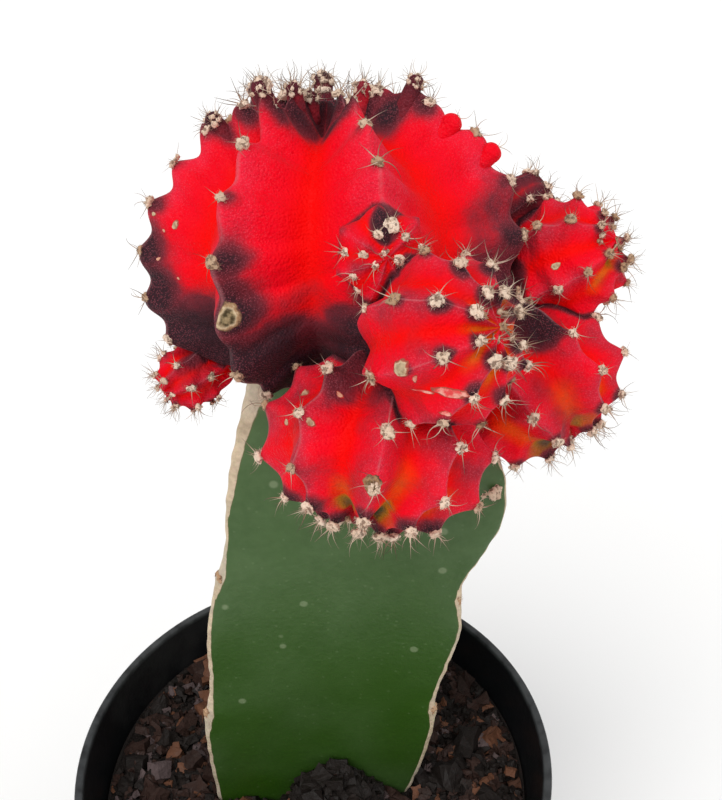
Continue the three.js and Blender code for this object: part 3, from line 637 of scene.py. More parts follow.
def stem_material():
    """Waxy green skin with pale specks, turning to cork along the margins."""
    material, nodes, shader = new_material(
        "green stem", Specular_IOR_Level=0.3, Subsurface_Weight=0.06, Subsurface_Scale=0.003,
        Subsurface_Radius=(0.3, 0.8, 0.2), Coat_Weight=0.05, Coat_Roughness=0.35)
    low = nodes.span(nodes.number("height"), 0.085, 0.16)
    green = nodes.mix(low, (0.020, 0.064, 0.002, 1), (0.064, 0.122, 0.038, 1))
    broad = nodes.span(nodes.noise(38.0, 2.0), 0.35, 0.7)
    green = nodes.over(green, broad, 0.45, (0.075, 0.13, 0.05, 1))
    green = nodes.group(UNEVEN, {"Colour": green, "Cloud": (0.02, 0.06, 0.006, 1),
                                 "Scale": 110.0, "Amount": 0.45}).outputs["Colour"]
    big = nodes.group(SPECKS, {"Scale": 230.0, "Size": 0.2, "Share": 0.3}).outputs["Mask"]
    tiny = nodes.group(SPECKS, {"Scale": 800.0, "Size": 0.25, "Share": 0.25}).outputs["Mask"]
    green = nodes.over(green, big, 0.45, (0.24, 0.30, 0.17, 1))
    green = nodes.over(green, tiny, 0.12, (0.2, 0.28, 0.14, 1))

    fray = nodes.centred(nodes.noise(420.0, 4.0), 0.5)
    cork = nodes.span(nodes.math("ADD", nodes.number("cork"), fray), 0.42, 0.6)
    rim = nodes.span(nodes.math("ADD", nodes.number("cork"), fray), 0.25, 0.45)
    green = nodes.over(green, rim, 0.6, (0.10, 0.10, 0.03, 1))
    nodes.feed(shader.inputs["Base Color"], nodes.mix(cork, green, cork_colour(nodes)))
    nodes.feed(shader.inputs["Roughness"], nodes.plus(0.42, cork, 0.4))

    grain = nodes.group(GRAIN, {"Scale": 1500.0, "Lump": 160.0, "Lumpiness": 1.2})
    rough_cork = nodes.math("MULTIPLY", nodes.noise(1500.0, 5.0), nodes.math("MULTIPLY", cork, 5.0))
    height = nodes.math("ADD", grain.outputs["Height"], rough_cork)
    nodes.feed(shader.inputs["Normal"], nodes.bump(height, 0.25, 0.0002))
    return material


def pot_material():
    """Thin black plastic, dusty inside, with a painted grey highlight along the rim's edge."""
    material, nodes, shader = new_material("pot plastic", Specular_IOR_Level=0.35)
    dust = nodes.span(nodes.noise(60.0, 5.0), 0.45, 0.75)
    colour = nodes.mix(nodes.math("MULTIPLY", dust, 0.25), (0.005, 0.0055, 0.0065, 1),
                       (0.035, 0.032, 0.030, 1))
    # Painted highlight: a broken grey line along the rim's top edge.
    rim = nodes.math("MULTIPLY", nodes.number("rim"), nodes.span(nodes.noise(300.0), 0.2, 0.7))
    colour = nodes.over(colour, rim, 0.35, (0.13, 0.14, 0.145, 1))
    nodes.feed(shader.inputs["Base Color"], colour)
    nodes.feed(shader.inputs["Roughness"], nodes.span(dust, 0.0, 1.0, 0.36, 0.6))
    ripples = nodes.math("ADD", nodes.math("MULTIPLY", nodes.noise(45.0), 6.0), nodes.noise(900.0))
    nodes.feed(shader.inputs["Normal"], nodes.bump(ripples, 0.12, 0.0004))
    return material


def bark_material():
    """Damp bark: mostly near-black brown, some flakes red-brown, tan or grey by their tone."""
    material, nodes, shader = new_material("bark compost", Specular_IOR_Level=0.25)
    tone = nodes.number("tone")
    fibre = nodes.noise(500.0, 5.0, 0.7)
    dark = nodes.mix(fibre, (0.004, 0.0025, 0.002, 1), (0.014, 0.009, 0.007, 1))
    brown = nodes.mix(fibre, (0.012, 0.0055, 0.004, 1), (0.045, 0.021, 0.015, 1))
    tan = nodes.mix(fibre, (0.05, 0.019, 0.010, 1), (0.19, 0.078, 0.040, 1))
    grey = nodes.mix(fibre, (0.035, 0.023, 0.022, 1), (0.14, 0.10, 0.10, 1))
    colour = nodes.mix(nodes.span(tone, 0.52, 0.6), dark, brown)
    colour = nodes.mix(nodes.span(tone, 0.84, 0.87), colour, tan)
    colour = nodes.mix(nodes.span(tone, 0.94, 0.95), colour, grey)
    nodes.feed(shader.inputs["Base Color"], colour)
    nodes.feed(shader.inputs["Roughness"], nodes.span(fibre, 0.3, 0.7, 0.5, 0.85))
    nodes.feed(shader.inputs["Normal"], nodes.bump(nodes.noise(1400.0, 5.0), 0.7, 0.0004))
    return material


def floor_material():
    """A plain floor, nearly white."""
    material, nodes, shader = new_material("pale floor", Roughness=0.9, Specular_IOR_Level=0.1)
    colour = nodes.mix(nodes.noise(3.0), (0.93, 0.93, 0.93, 1), (0.96, 0.96, 0.955, 1))
    nodes.feed(shader.inputs["Base Color"], colour)
    return material


FLESH = flesh_material()
WOOL = wool_material()
SPINE = spine_material()
CORK = cork_material()


# ---- geometry nodes ------------------------------------------------------------------------------

def new_tree(name, inputs):
    """A geometry tree with named inputs, given as name: (socket type, value)."""
    tree = bpy.data.node_groups.new(name, "GeometryNodeTree")
    tree.interface.new_socket("Geometry", in_out="INPUT", socket_type="NodeSocketGeometry")
    for label, (kind, _) in inputs.items():
        tree.interface.new_socket(label, in_out="INPUT", socket_type=kind)
    tree.interface.new_socket("Geometry", in_out="OUTPUT", socket_type="NodeSocketGeometry")
    nodes = Nodes(tree)
    return tree, nodes, nodes.add("NodeGroupInput").outputs, nodes.add("NodeGroupOutput").inputs


def grown(name, seats, tree, values):
    """Runs a geometry tree on a mesh of seats and gives the result as a plain mesh."""
    holder = bpy.data.objects.new(name + "_seats", seats)
    bpy.context.scene.collection.objects.link(holder)
    modifier = holder.modifiers.new("grow", "NODES")
    modifier.node_group = tree
    for item in tree.interface.items_tree:
        if item.in_out == "INPUT" and item.name in values:
            modifier[item.identifier] = values[item.name]
    graph = bpy.context.evaluated_depsgraph_get()
    mesh = bpy.data.meshes.new_from_object(holder.evaluated_get(graph))
    mesh.name = name
    holder.modifiers.clear()
    bpy.data.objects.remove(holder)
    return mesh


def named(nodes, name, kind="FLOAT"):
    """An attribute of the seats."""
    node = nodes.add("GeometryNodeInputNamedAttribute", {"Name": name}, data_type=kind)
    return node.outputs["Attribute"]


def random_number(nodes, low, high, seed):
    """A number for each seat or point, between low and high."""
    node = nodes.add("FunctionNodeRandomValue", data_type="FLOAT")
    for socket in node.inputs:
        if socket.name == "Min" and socket.type == "VALUE" and socket.enabled:
            socket.default_value = low
        if socket.name == "Max" and socket.type == "VALUE" and socket.enabled:
            socket.default_value = high
        if socket.name == "Seed":
            nodes.feed(socket, seed)
    return next(socket for socket in node.outputs if socket.enabled)


def store(nodes, geometry, name, value):
    """Keeps a number on each point under a name."""
    node = nodes.add("GeometryNodeStoreNamedAttribute",
                     {"Geometry": geometry, "Name": name}, data_type="FLOAT", domain="POINT")
    nodes.feed(node.inputs["Value"], value)
    return node.outputs["Geometry"]


def aimed(nodes, way):
    """The rotation that turns Z along a vector."""
    node = nodes.add("FunctionNodeAlignRotationToVector", {"Vector": way}, axis="Z")
    return node.outputs["Rotation"]


def one_of(nodes, given, kinds, count):
    """One of the kinds on each seat: along its `way`, turned at random and as big as its `length`."""
    points = nodes.add("GeometryNodeMeshToPoints", {"Mesh": given["Geometry"]})
    roll = random_number(nodes, 0.0, TAU, given["Seed"])
    spin = nodes.add("FunctionNodeAxisAngleToRotation", {"Axis": (0, 0, 1), "Angle": roll})
    both = nodes.add("FunctionNodeRotateRotation", {
        "Rotation": aimed(nodes, named(nodes, "way", "FLOAT_VECTOR")),
        "Rotate By": spin.outputs["Rotation"]}, rotation_space="LOCAL")
    any_kind = random_number(nodes, 0.0, count - 0.01, nodes.math("ADD", given["Seed"], 5))
    placed = nodes.add("GeometryNodeInstanceOnPoints", {
        "Points": points.outputs["Points"], "Instance": kinds.outputs["Instances"],
        "Pick Instance": True, "Instance Index": nodes.math("FLOOR", any_kind),
        "Rotation": both.outputs["Rotation"]})
    nodes.feed(placed.inputs["Scale"], named(nodes, "length"))
    return placed.outputs["Instances"]


def finish_tree(nodes, geometry, out, given):
    """Makes the instances real and gives them their material."""
    real = nodes.add("GeometryNodeRealizeInstances", {"Geometry": geometry}).outputs["Geometry"]
    done = nodes.add("GeometryNodeSetMaterial", {"Geometry": real, "Material": given["Material"]})
    nodes.feed(out["Geometry"], done.outputs["Geometry"])


def curved_needle(nodes, bend, thickness, sides, steps):
    """A needle of length 1 up Z that leans by `bend` on the way, tapered to its tip."""
    curve = nodes.add("GeometryNodeCurveQuadraticBezier", {
        "Resolution": steps, "Start": (0, 0, -0.1), "Middle": (bend * 1.6, 0, 0.5), "End": (0, 0, 1)})
    factor = nodes.add("GeometryNodeSplineParameter").outputs["Factor"]
    taper = nodes.math("SUBTRACT", 1.0, nodes.math("MULTIPLY", factor, 0.85))
    radius = nodes.math("MULTIPLY", taper, thickness)
    sized = nodes.add("GeometryNodeSetCurveRadius", {"Curve": curve.outputs["Curve"]})
    nodes.feed(sized.inputs["Radius"], radius)
    kept = store(nodes, sized.outputs["Curve"], "along", factor)
    circle = nodes.add("GeometryNodeCurvePrimitiveCircle", {"Resolution": sides, "Radius": 1.0})
    mesh = nodes.add("GeometryNodeCurveToMesh", {
        "Curve": kept, "Profile Curve": circle.outputs["Curve"], "Fill Caps": True})
    if "Scale" in mesh.inputs:
        nodes.feed(mesh.inputs["Scale"], radius)
    return mesh.outputs["Mesh"]


def needles_tree():
    """Needles of three bends on seats that hold a `way`, a `length` and a `tone`."""
    tree, nodes, given, out = new_tree("needles on seats", {
        "Thickness": ("NodeSocketFloat", 0.03), "Seed": ("NodeSocketInt", 0),
        "Material": ("NodeSocketMaterial", None)})
    kinds = nodes.add("GeometryNodeGeometryToInstance")
    bends = (0.04, 0.16, 0.3)
    for bend in bends:
        needle = curved_needle(nodes, bend, given["Thickness"], 5, 6)
        nodes.tree.links.new(needle, kinds.inputs["Geometry"])
    finish_tree(nodes, one_of(nodes, given, kinds, len(bends)), out, given)
    return tree


def tufts_tree():
    """Woolly tufts on seats that hold a `way`, a `length` (the tuft's radius) and a `tone`."""
    tree, nodes, given, out = new_tree("woolly tufts", {
        "Hairs": ("NodeSocketFloat", 5e6), "Hair Length": ("NodeSocketFloat", 0.0007),
        "Seed": ("NodeSocketInt", 0), "Material": ("NodeSocketMaterial", None)})
    ball = nodes.add("GeometryNodeMeshIcoSphere", {"Radius": 1.0, "Subdivisions": 3})
    flat = nodes.add("GeometryNodeTransform",
                     {"Geometry": ball.outputs["Mesh"], "Scale": (1.0, 1.0, 0.62)})
    points = nodes.add("GeometryNodeMeshToPoints", {"Mesh": given["Geometry"]})
    placed = nodes.add("GeometryNodeInstanceOnPoints", {
        "Points": points.outputs["Points"], "Instance": flat.outputs["Geometry"],
        "Rotation": aimed(nodes, named(nodes, "way", "FLOAT_VECTOR"))})
    nodes.feed(placed.inputs["Scale"], named(nodes, "length"))
    pads = nodes.add("GeometryNodeRealizeInstances", {"Geometry": placed.outputs["Instances"]})
    lumps = nodes.add("ShaderNodeTexNoise", {"Scale": 1900.0, "Detail": 3.0})
    push = nodes.math("MULTIPLY", nodes.math("SUBTRACT", lumps.outputs["Fac"], 0.5), 0.0014)
    normal = nodes.add("GeometryNodeInputNormal").outputs["Normal"]
    scaled = nodes.add("ShaderNodeVectorMath", operation="SCALE")
    nodes.feed(scaled.inputs[0], normal)
    nodes.feed(scaled.inputs["Scale"], push)
    rough = nodes.add("GeometryNodeSetPosition", {
        "Geometry": pads.outputs["Geometry"], "Offset": scaled.outputs["Vector"]})

    roots = nodes.add("GeometryNodeDistributePointsOnFaces", {
        "Mesh": rough.outputs["Geometry"], "Density": given["Hairs"], "Seed": given["Seed"]})
    hair = curved_needle(nodes, 0.35, 0.045, 3, 4)
    jitter = nodes.add("FunctionNodeRandomValue", data_type="FLOAT_VECTOR")
    jitter.inputs["Min"].default_value = (-0.9, -0.9, -0.9)
    jitter.inputs["Max"].default_value = (0.9, 0.9, 0.9)
    lean = nodes.add("ShaderNodeVectorMath", operation="ADD")
    nodes.feed(lean.inputs[0], roots.outputs["Normal"])
    nodes.feed(lean.inputs[1], jitter.outputs["Value"])
    hairs = nodes.add("GeometryNodeInstanceOnPoints", {
        "Points": roots.outputs["Points"], "Instance": hair,
        "Rotation": aimed(nodes, lean.outputs["Vector"])})
    grow = nodes.math("MULTIPLY", given["Hair Length"], random_number(nodes, 0.5, 1.2, 3))
    nodes.feed(hairs.inputs["Scale"], grow)
    both = nodes.add("GeometryNodeJoinGeometry")
    nodes.tree.links.new(rough.outputs["Geometry"], both.inputs["Geometry"])
    nodes.tree.links.new(hairs.outputs["Instances"], both.inputs["Geometry"])
    finish_tree(nodes, both.outputs["Geometry"], out, given)
    return tree


def bark_tree():
    """Angular flakes of bark on seats that hold a `way`, a `length` and a `tone`."""
    tree, nodes, given, out = new_tree("bark flakes", {
        "Seed": ("NodeSocketInt", 0), "Material": ("NodeSocketMaterial", None)})
    kinds = nodes.add("GeometryNodeGeometryToInstance")
    shapes = [(1.0, 0.55, 0.34), (1.0, 0.7, 0.5), (1.0, 0.38, 0.26), (0.85, 0.75, 0.7)]
    for number, size in enumerate(shapes):
        block = nodes.add("GeometryNodeMeshCube", {
            "Size": size, "Vertices X": 4, "Vertices Y": 3, "Vertices Z": 2})
        place = nodes.add("GeometryNodeInputPosition").outputs["Position"]
        shift = nodes.add("ShaderNodeVectorMath", {0: place, 1: (number * 7.3, 2.1, 5.7)},
                          operation="ADD")
        rough = nodes.add("ShaderNodeTexNoise", {"Scale": 2.6, "Detail": 2.0})
        nodes.feed(rough.inputs["Vector"], shift.outputs["Vector"])
        centred = nodes.add("ShaderNodeVectorMath", {0: rough.outputs["Color"], 1: (0.5, 0.5, 0.5)},
                            operation="SUBTRACT")
        push = nodes.add("ShaderNodeVectorMath", {0: centred.outputs["Vector"], "Scale": 0.75},
                         operation="SCALE")
        moved = nodes.add("GeometryNodeSetPosition", {
            "Geometry": block.outputs["Mesh"], "Offset": push.outputs["Vector"]})
        nodes.tree.links.new(moved.outputs["Geometry"], kinds.inputs["Geometry"])
    finish_tree(nodes, one_of(nodes, given, kinds, len(shapes)), out, given)
    return tree


def seat_mesh(name, places, ways, lengths, tones):
    """Seats for a geometry tree: a vertex each, with its way, length and tone."""
    mesh = bpy.data.meshes.new(name)
    mesh.from_pydata((np.asarray(places) * MM).tolist(), [], [])
    add_vectors(mesh, way=unit(ways))
    add_numbers(mesh, length=np.asarray(lengths) * MM, tone=tones)
    return mesh


NEEDLES = needles_tree()
TUFTS = tufts_tree()
BARK_FLAKES = bark_tree()


# ---- pot -----------------------------------------------------------------------------------------

def pot_outer(z):
    """The radius of the wall's outside at a height, without the collar."""
    top = POT["rim_radius"] - POT["collar_step"]
    return POT["base_radius"] + (top - POT["base_radius"]) * z / POT["height"]


def make_pot():
    height, rim, base = POT["height"], POT["rim_radius"], POT["base_radius"]
    wall, floor = POT["wall"], POT["floor"]
    collar = height - POT["collar_height"]
    lip, chamfer = 0.5, 1.4
    profile = [
        (0, 0), (base - chamfer, 0), (base - 0.4, 0.35), (base, chamfer),
        (pot_outer(collar) - 0.02, collar - 0.5), (pot_outer(collar) + 0.3, collar),
        (rim - lip - 0.25, collar + 0.25), (rim - lip, collar + lip + 0.3),
        (rim - lip, height - 2.1), (rim - 0.15, height - 1.5), (rim, height - 1.1),
        (rim, height - 0.5), (rim - 0.1, height - 0.15), (rim - 0.35, height),
        (rim - wall - 0.05, height), (rim - wall - 0.3, height - 0.15),
        (rim - wall - lip, height - 1.0), (pot_outer(collar) - wall, collar - 1),
        (pot_outer(floor + chamfer) - wall, floor + chamfer),
        (base - wall - chamfer, floor), (0, floor),
    ]
    columns = POT["columns"]
    angles = np.arange(columns) * TAU / columns
    rings = np.array([[(r * math.cos(a), r * math.sin(a), z) for a in angles] for r, z in profile])
    mesh, places = skin_mesh("pot_wall", rings)
    # Marks the rim's top edge, where a grey highlight is painted.
    add_numbers(mesh, rim=ramp(places[:, 2], height - 0.6, height - 0.1))
    pot = make_object("nursery_pot", with_drain_holes(mesh), pot_material())
    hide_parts("pot")


def with_drain_holes(wall):
    """The wall's mesh with round holes through the corner between the pot's wall and floor."""
    tool = bmesh.new()
    for i in range(POT["drain_holes"]):
        bearing = (i + 0.5) / POT["drain_holes"] * TAU
        spot = Matrix.Rotation(bearing, 4, "Z") @ Matrix.Translation(
            Vector((POT["base_radius"], 0, 1.2)) * MM) @ Matrix.Rotation(math.pi / 2, 4, "Y")
        bmesh.ops.create_cone(tool, cap_ends=True, segments=28, radius1=POT["drain_radius"] * MM,
                              radius2=POT["drain_radius"] * MM, depth=12 * MM, matrix=spot)
    drills = bpy.data.meshes.new("drills")
    tool.to_mesh(drills)
    tool.free()
    holders = [bpy.data.objects.new(mesh.name, mesh) for mesh in (wall, drills)]
    for holder in holders:
        bpy.context.scene.collection.objects.link(holder)
    cut = holders[0].modifiers.new("drain", "BOOLEAN")
    cut.operation = "DIFFERENCE"
    cut.solver = "EXACT"
    cut.object = holders[1]
    graph = bpy.context.evaluated_depsgraph_get()
    drilled = bpy.data.meshes.new_from_object(holders[0].evaluated_get(graph))
    holders[0].modifiers.clear()
    for holder in holders:
        bpy.data.objects.remove(holder)
    return drilled


# ---- compost -------------------------------------------------------------------------------------

def soil_level(x, y):
    """The height of the compost: a shallow bowl with the heap on it."""
    heap = SOIL["heap"]
    out = np.hypot(x, y) / POT["rim_radius"]
    near = np.hypot(x - heap["centre"][0], y - heap["centre"][1]) / heap["radius"]
    level = SOIL["middle"] + (SOIL["edge"] - SOIL["middle"]) * out**2
    return level + heap["height"] * np.maximum(0, 1 - near)


def make_compost():
    inner = lambda z: pot_outer(z) - POT["wall"] - SOIL["gap"]
    bottom = POT["floor"] + SOIL["gap"]
    columns = 200
    angles = np.arange(columns) * TAU / columns
    brim = SOIL["edge"] - 0.6
    spread = np.linspace(inner(brim) - 0.4, 0, 70)
    top = [(r, None) for r in spread]
    profile = top[::-1] + [(inner(brim), brim), (inner(bottom + 1.6) - 0.2, bottom + 1.6),
                           (inner(bottom) - 1.8, bottom), (0, bottom)]
    rings = np.empty((len(profile), columns, 3))
    for band, (r, z) in enumerate(profile):
        x, y = r * np.cos(angles), r * np.sin(angles)
        rings[band] = np.stack([x, y, soil_level(x, y) if z is None else np.full(columns, z)], 1)
    flat = rings[:len(top)].reshape(-1, 3)
    fade = ramp(inner(brim) - np.hypot(flat[:, 0], flat[:, 1]), 0, 2)
    flat[:, 2] += fade * (0.9 * ripple(flat, 3.5, 3) + 0.45 * ripple(flat, 1.3, 4)) - 0.9
    rings[:len(top)] = flat.reshape(len(top), columns, 3)
    mesh, places = skin_mesh("compost_bed", rings)
    add_numbers(mesh, tone=0.25 + 0.35 * ripple(places, 2.0, 6))
    bark = bark_material()
    bed = make_object("compost_bed", mesh, bark)
    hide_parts("compost")
    scatter_bark(bark, inner(brim))


def scatter_bark(bark, radius):
    """Flakes of every size over the bed, with bigger ones on the heap, where they are painted darker as
    shade under the heads.
    """
    rng = np.random.default_rng(11)
    sizes, places, ways, tones = [], [], [], []

    def lay(count, low, high, power, spread, centre, tilt, lift):
        """Flakes from low to high across, mostly small ones where the power is over 1."""
        for _ in range(count):
            size = low + (high - low) * rng.random() ** power
            out = (spread - size * 0.5) * math.sqrt(rng.random())
            turn = rng.uniform(0, TAU)
            x, y = centre[0] + out * math.cos(turn), centre[1] + out * math.sin(turn)
            if stem_clearance(np.array([[x, y, 72.0]]))[0] < size * 0.35:
                continue
            if math.hypot(x, y) > radius - size * 0.45:
                continue
            places.append((x, y, float(soil_level(x, y)) - 0.4 + lift * size * rng.random()))
            ways.append((rng.normal() * tilt, rng.normal() * tilt, 1.0))
            sizes.append(size)
            tones.append(rng.random())

    lay(4300, 1.0, 2.7, 1.4, radius, (0, 0), 0.9, 0.4)
    lay(520, 2.2, 5.2, 2.0, radius, (0, 0), 0.6, 0.3)
    lay(16, 4.5, 6.5, 1.5, radius, (0, 0), 0.4, 0.3)
    heap = SOIL["heap"]
    lay(260, 1.4, 4.6, 1.5, heap["radius"] * 0.9, heap["centre"], 1.0, 0.3)
    away = np.linalg.norm(np.array(places)[:, :2] - heap["centre"], axis=1)
    # Painted shade: flakes on the heap, under the heads, are made darker.
    tones = np.array(tones) * np.where(away < heap["radius"] * 0.8, 0.6, 1)
    seats = seat_mesh("bark_seats", places, ways, sizes, tones)
    mesh = grown("bark_flakes", seats, BARK_FLAKES, {"Seed": 4, "Material": bark})
    flakes = make_object("bark_flakes", mesh, bark, smooth=False)


# ---- rootstock -----------------------------------------------------------------------------------

def stem_parts(bearing, z):
    """For bearings in degrees and heights: the reach, the turn from the nearest margin in degrees,
    the margin's own reach and its number."""
    turns = np.stack([np.abs((bearing - wing["azimuth"] + 540) % 360 - 180)
                      for wing in STEM["wings"]])
    reaches = np.stack([along(wing["outline"], z) for wing in STEM["wings"]])
    level = [np.mean([along(wing["outline"], z + shift) for shift in range(-12, 13, 4)], axis=0)
             for wing in STEM["wings"]]
    order = np.argsort(turns, axis=0)
    pick = lambda table, rank: np.take_along_axis(np.stack(table), order[rank][None], 0)[0]
    near_turn, near = pick(turns, 0), pick(reaches, 0)
    middle = STEM["valley"] * (pick(level, 0) + pick(level, 1)) / 2
    turn = np.radians(np.hypot(near_turn, STEM["blunt"]) - STEM["blunt"])
    half = math.radians(60)
    edge = near + (pick(level, 0) - near) * ramp(near_turn, 1, 10)
    reach = math.sin(half) / (np.sin(half - turn) / edge + np.sin(turn) / middle)
    return reach, near_turn, near, order[0]


def stem_clearance(places):
    """How far places (n, 3) lie outside the stem."""
    z = places[:, 2]
    x = places[:, 0] - along(STEM["core"], z)
    y = places[:, 1] - STEM["core_y"]
    reach = stem_parts(np.degrees(np.arctan2(y, x)) % 360, z)[0]
    side = np.hypot(x, y) - reach
    return np.where(z > STEM["top"], np.maximum(side, z - STEM["top"]), side)


def make_rootstock():
    steps, bands = 66, 300
    share = np.linspace(0, 1, steps, endpoint=False)
    offsets = 120 * (share - 0.11 * np.sin(TAU * share))
    bearings = (90 + (np.arange(3)[:, None] * 120 + offsets).ravel()) % 360
    heights = np.linspace(STEM["top"], STEM["foot"], bands)
    z, bearing = (grid.ravel() for grid in np.meshgrid(heights, bearings, indexing="ij"))
    reach, turn, margin, wing = stem_parts(bearing, z)
    core = along(STEM["core"], z)
    angle = np.radians(bearing)

    # Cork: how deep it reaches in from the margin, and a bulge at each areole.
    depth = np.zeros_like(z)
    bulge = np.zeros_like(z)
    for number, part in enumerate(STEM["wings"]):
        own = wing == number
        depth[own] = np.interp(z[own], *np.array(part["cork"]).T)
        for level in part["areoles"]:
            bulge[own] += np.exp(-((z[own] - level) / 2.2) ** 2)
    inward = margin - reach * np.cos(np.radians(turn))
    cork = ramp(-inward, -depth * 1.25, -depth * 0.45)
    flat = np.stack([core + reach * np.cos(angle), STEM["core_y"] + reach * np.sin(angle), z], 1)
    reach = reach + 0.35 * ripple(flat, 14, 21) * ramp(turn, 4, 25)
    reach += cork * (0.05 + 0.09 * ripple(flat, 1.6, 22)) + 0.3 * bulge * ramp(-turn, -12, -2)
    # Rounded shoulders at the top, where it was cut for the graft.
    reach *= 1 - 0.06 * ramp(z, STEM["top"] - 2.0, STEM["top"])
    ring = np.stack([core + reach * np.cos(angle), STEM["core_y"] + reach * np.sin(angle), z], 1)
    ring = ring.reshape(bands, len(bearings), 3)
    ends = [np.broadcast_to(ring[i].mean(axis=0), (1, len(bearings), 3)) for i in (0, -1)]
    mesh, places = skin_mesh("rootstock_skin", np.concatenate([ends[0], ring, ends[1]]))
    add_numbers(mesh, cork=np.append(cork, [1, 0]), height=places[:, 2] * MM)
    stem = make_object("rootstock_skin", mesh, stem_material())
    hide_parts("rootstock")
    make_stem_areoles()


def stem_core(level):
    """The stem's middle at a height, as a place at height nought."""
    return np.array([along(STEM["core"], level), STEM["core_y"], 0])


def make_stem_areoles():
    """Old flat wool at the areoles of the stem's margins."""
    rng = np.random.default_rng(5)
    tufts = []
    for wing in STEM["wings"]:
        angle = math.radians(wing["azimuth"])
        out = np.array([math.cos(angle), math.sin(angle), 0.0])
        for level in wing["areoles"]:
            reach, core = along(wing["outline"], level), stem_core(level)
            for _ in range(4):
                spot = core + out * (reach - 0.15) + (0, 0, level + rng.uniform(-0.9, 0.9))
                tufts.append((spot, out, rng.uniform(0.5, 0.8), rng.uniform(0.9, 1.4)))
        if "face_areole" in wing:
            level, turn = wing["face_areole"]
            angle += math.radians(turn)
            out = np.array([math.cos(angle), math.sin(angle), 0.0])
            reach = stem_parts(np.array([math.degrees(angle)]), np.array([float(level)]))[0][0]
            for _ in range(5):
                spot = stem_core(level) + out * (reach - 0.1) + (0, 0, level) + rng.uniform(-0.7, 0.7, 3)
                tufts.append((spot, out - (0, 1, 0), rng.uniform(0.75, 1.0), rng.uniform(0.4, 0.9)))
    places, ways, sizes, tones = (np.array(column) for column in zip(*tufts))
    seats = seat_mesh("rootstock_wool", places, ways, sizes, tones)
    mesh = grown("rootstock_wool", seats, TUFTS, {
        "Hairs": 5e6, "Hair Length": 0.0004, "Seed": 6, "Material": WOOL})
    make_object("rootstock_wool", mesh, WOOL)


# ---- heads ---------------------------------------------------------------------------------------

CROWN_DIP, CROWN_DIP_ANGLE = 0.1, math.radians(22)
SHOULDER, SHOULDER_SPREAD = math.radians(55), math.radians(28)
CROWN_FADE, ROOT_FADE = math.radians(14), math.radians(50)
RIDGE_EDGE, GROOVE_FLOOR, NOTCH_EDGE = 0.045, 0.16, 0.09
FACE_SWELL = 0.012  # how far the middle of a face stands out, as a share of the reach
ROW_SLANT = 0.35  # how far a row sags from its rib to the groove, in rows
BIG_HEAD, SMALL_HEAD = 20, 7  # radii
YOUNG_ROWS = 2
HEART_ANGLE = math.radians(22)
CHOSEN_WOOL = 0.78  # size of the wool where a list says where it grows
SCAR_WIDTH, SCAR_CLEAR = 2.1, 3.6  # a scar wider than this bares its areole, this far round it
# Under a bud: the rise as a share of how far it stands out, and how far the rise and the dark skin
# spread, in radii of the bud.
BUD_RISE, BUD_SKIN, BUD_DARK = 0.8, 1.45, 1.7
AREOLE_ROOM = 0.4  # an areole nearer than this to a neighbour is pressed and bare
SPINE_ROOM_STEM, SPINE_ROOM_HEAD = 0.15, 0.1
SHORTEST_SPINE = 0.6


def rounded(share, edge):
    """A share from 0 to 1 with its corner at 0 rounded off."""
    return (np.hypot(share, edge) - edge) / (math.hypot(1, edge) - edge)


def rib_stops(head):
    """The bearings of a head's ribs in radians, with the first again after a full turn."""
    count = head["ribs"]
    stops = np.radians(head.get("bearings") or [360 * i / count for i in range(count)])
    return np.append(stops, stops[0] + TAU)


def rib_bearing(head, rib):
    """The bearing of a rib number in radians. Numbers run from 0 to the count, with fractions."""
    return np.interp(rib, np.arange(head["ribs"] + 1), rib_stops(head))


def rib_at(head, bearing):
    """The rib number at a bearing in radians."""
    stops = rib_stops(head)
    return np.interp(stops[0] + (bearing - stops[0]) % TAU, stops, np.arange(head["ribs"] + 1))


def by_rib(head, key, rib, usual):
    """A value at rib numbers, from the head's list with a value for each rib."""
    values = head.get(key, [usual] * head["ribs"])
    return np.interp(rib, np.arange(head["ribs"] + 1), values + values[:1])


def pace_at(head, rib):
    """How close the rows lie at rib numbers, against the head's own rows."""
    return by_rib(head, "pace", rib, 1)


def row_angle(head, rib, row):
    """The polar angle of a row on a rib."""
    return math.radians(head["reach"]) * (row / (head["rows"] * pace_at(head, rib))) ** head["spread"]


def row_at(head, rib, polar):
    """The row number at a polar angle on a rib, with fractions."""
    whole = head["rows"] * pace_at(head, rib)
    return whole * (polar / math.radians(head["reach"])) ** (1 / head["spread"])


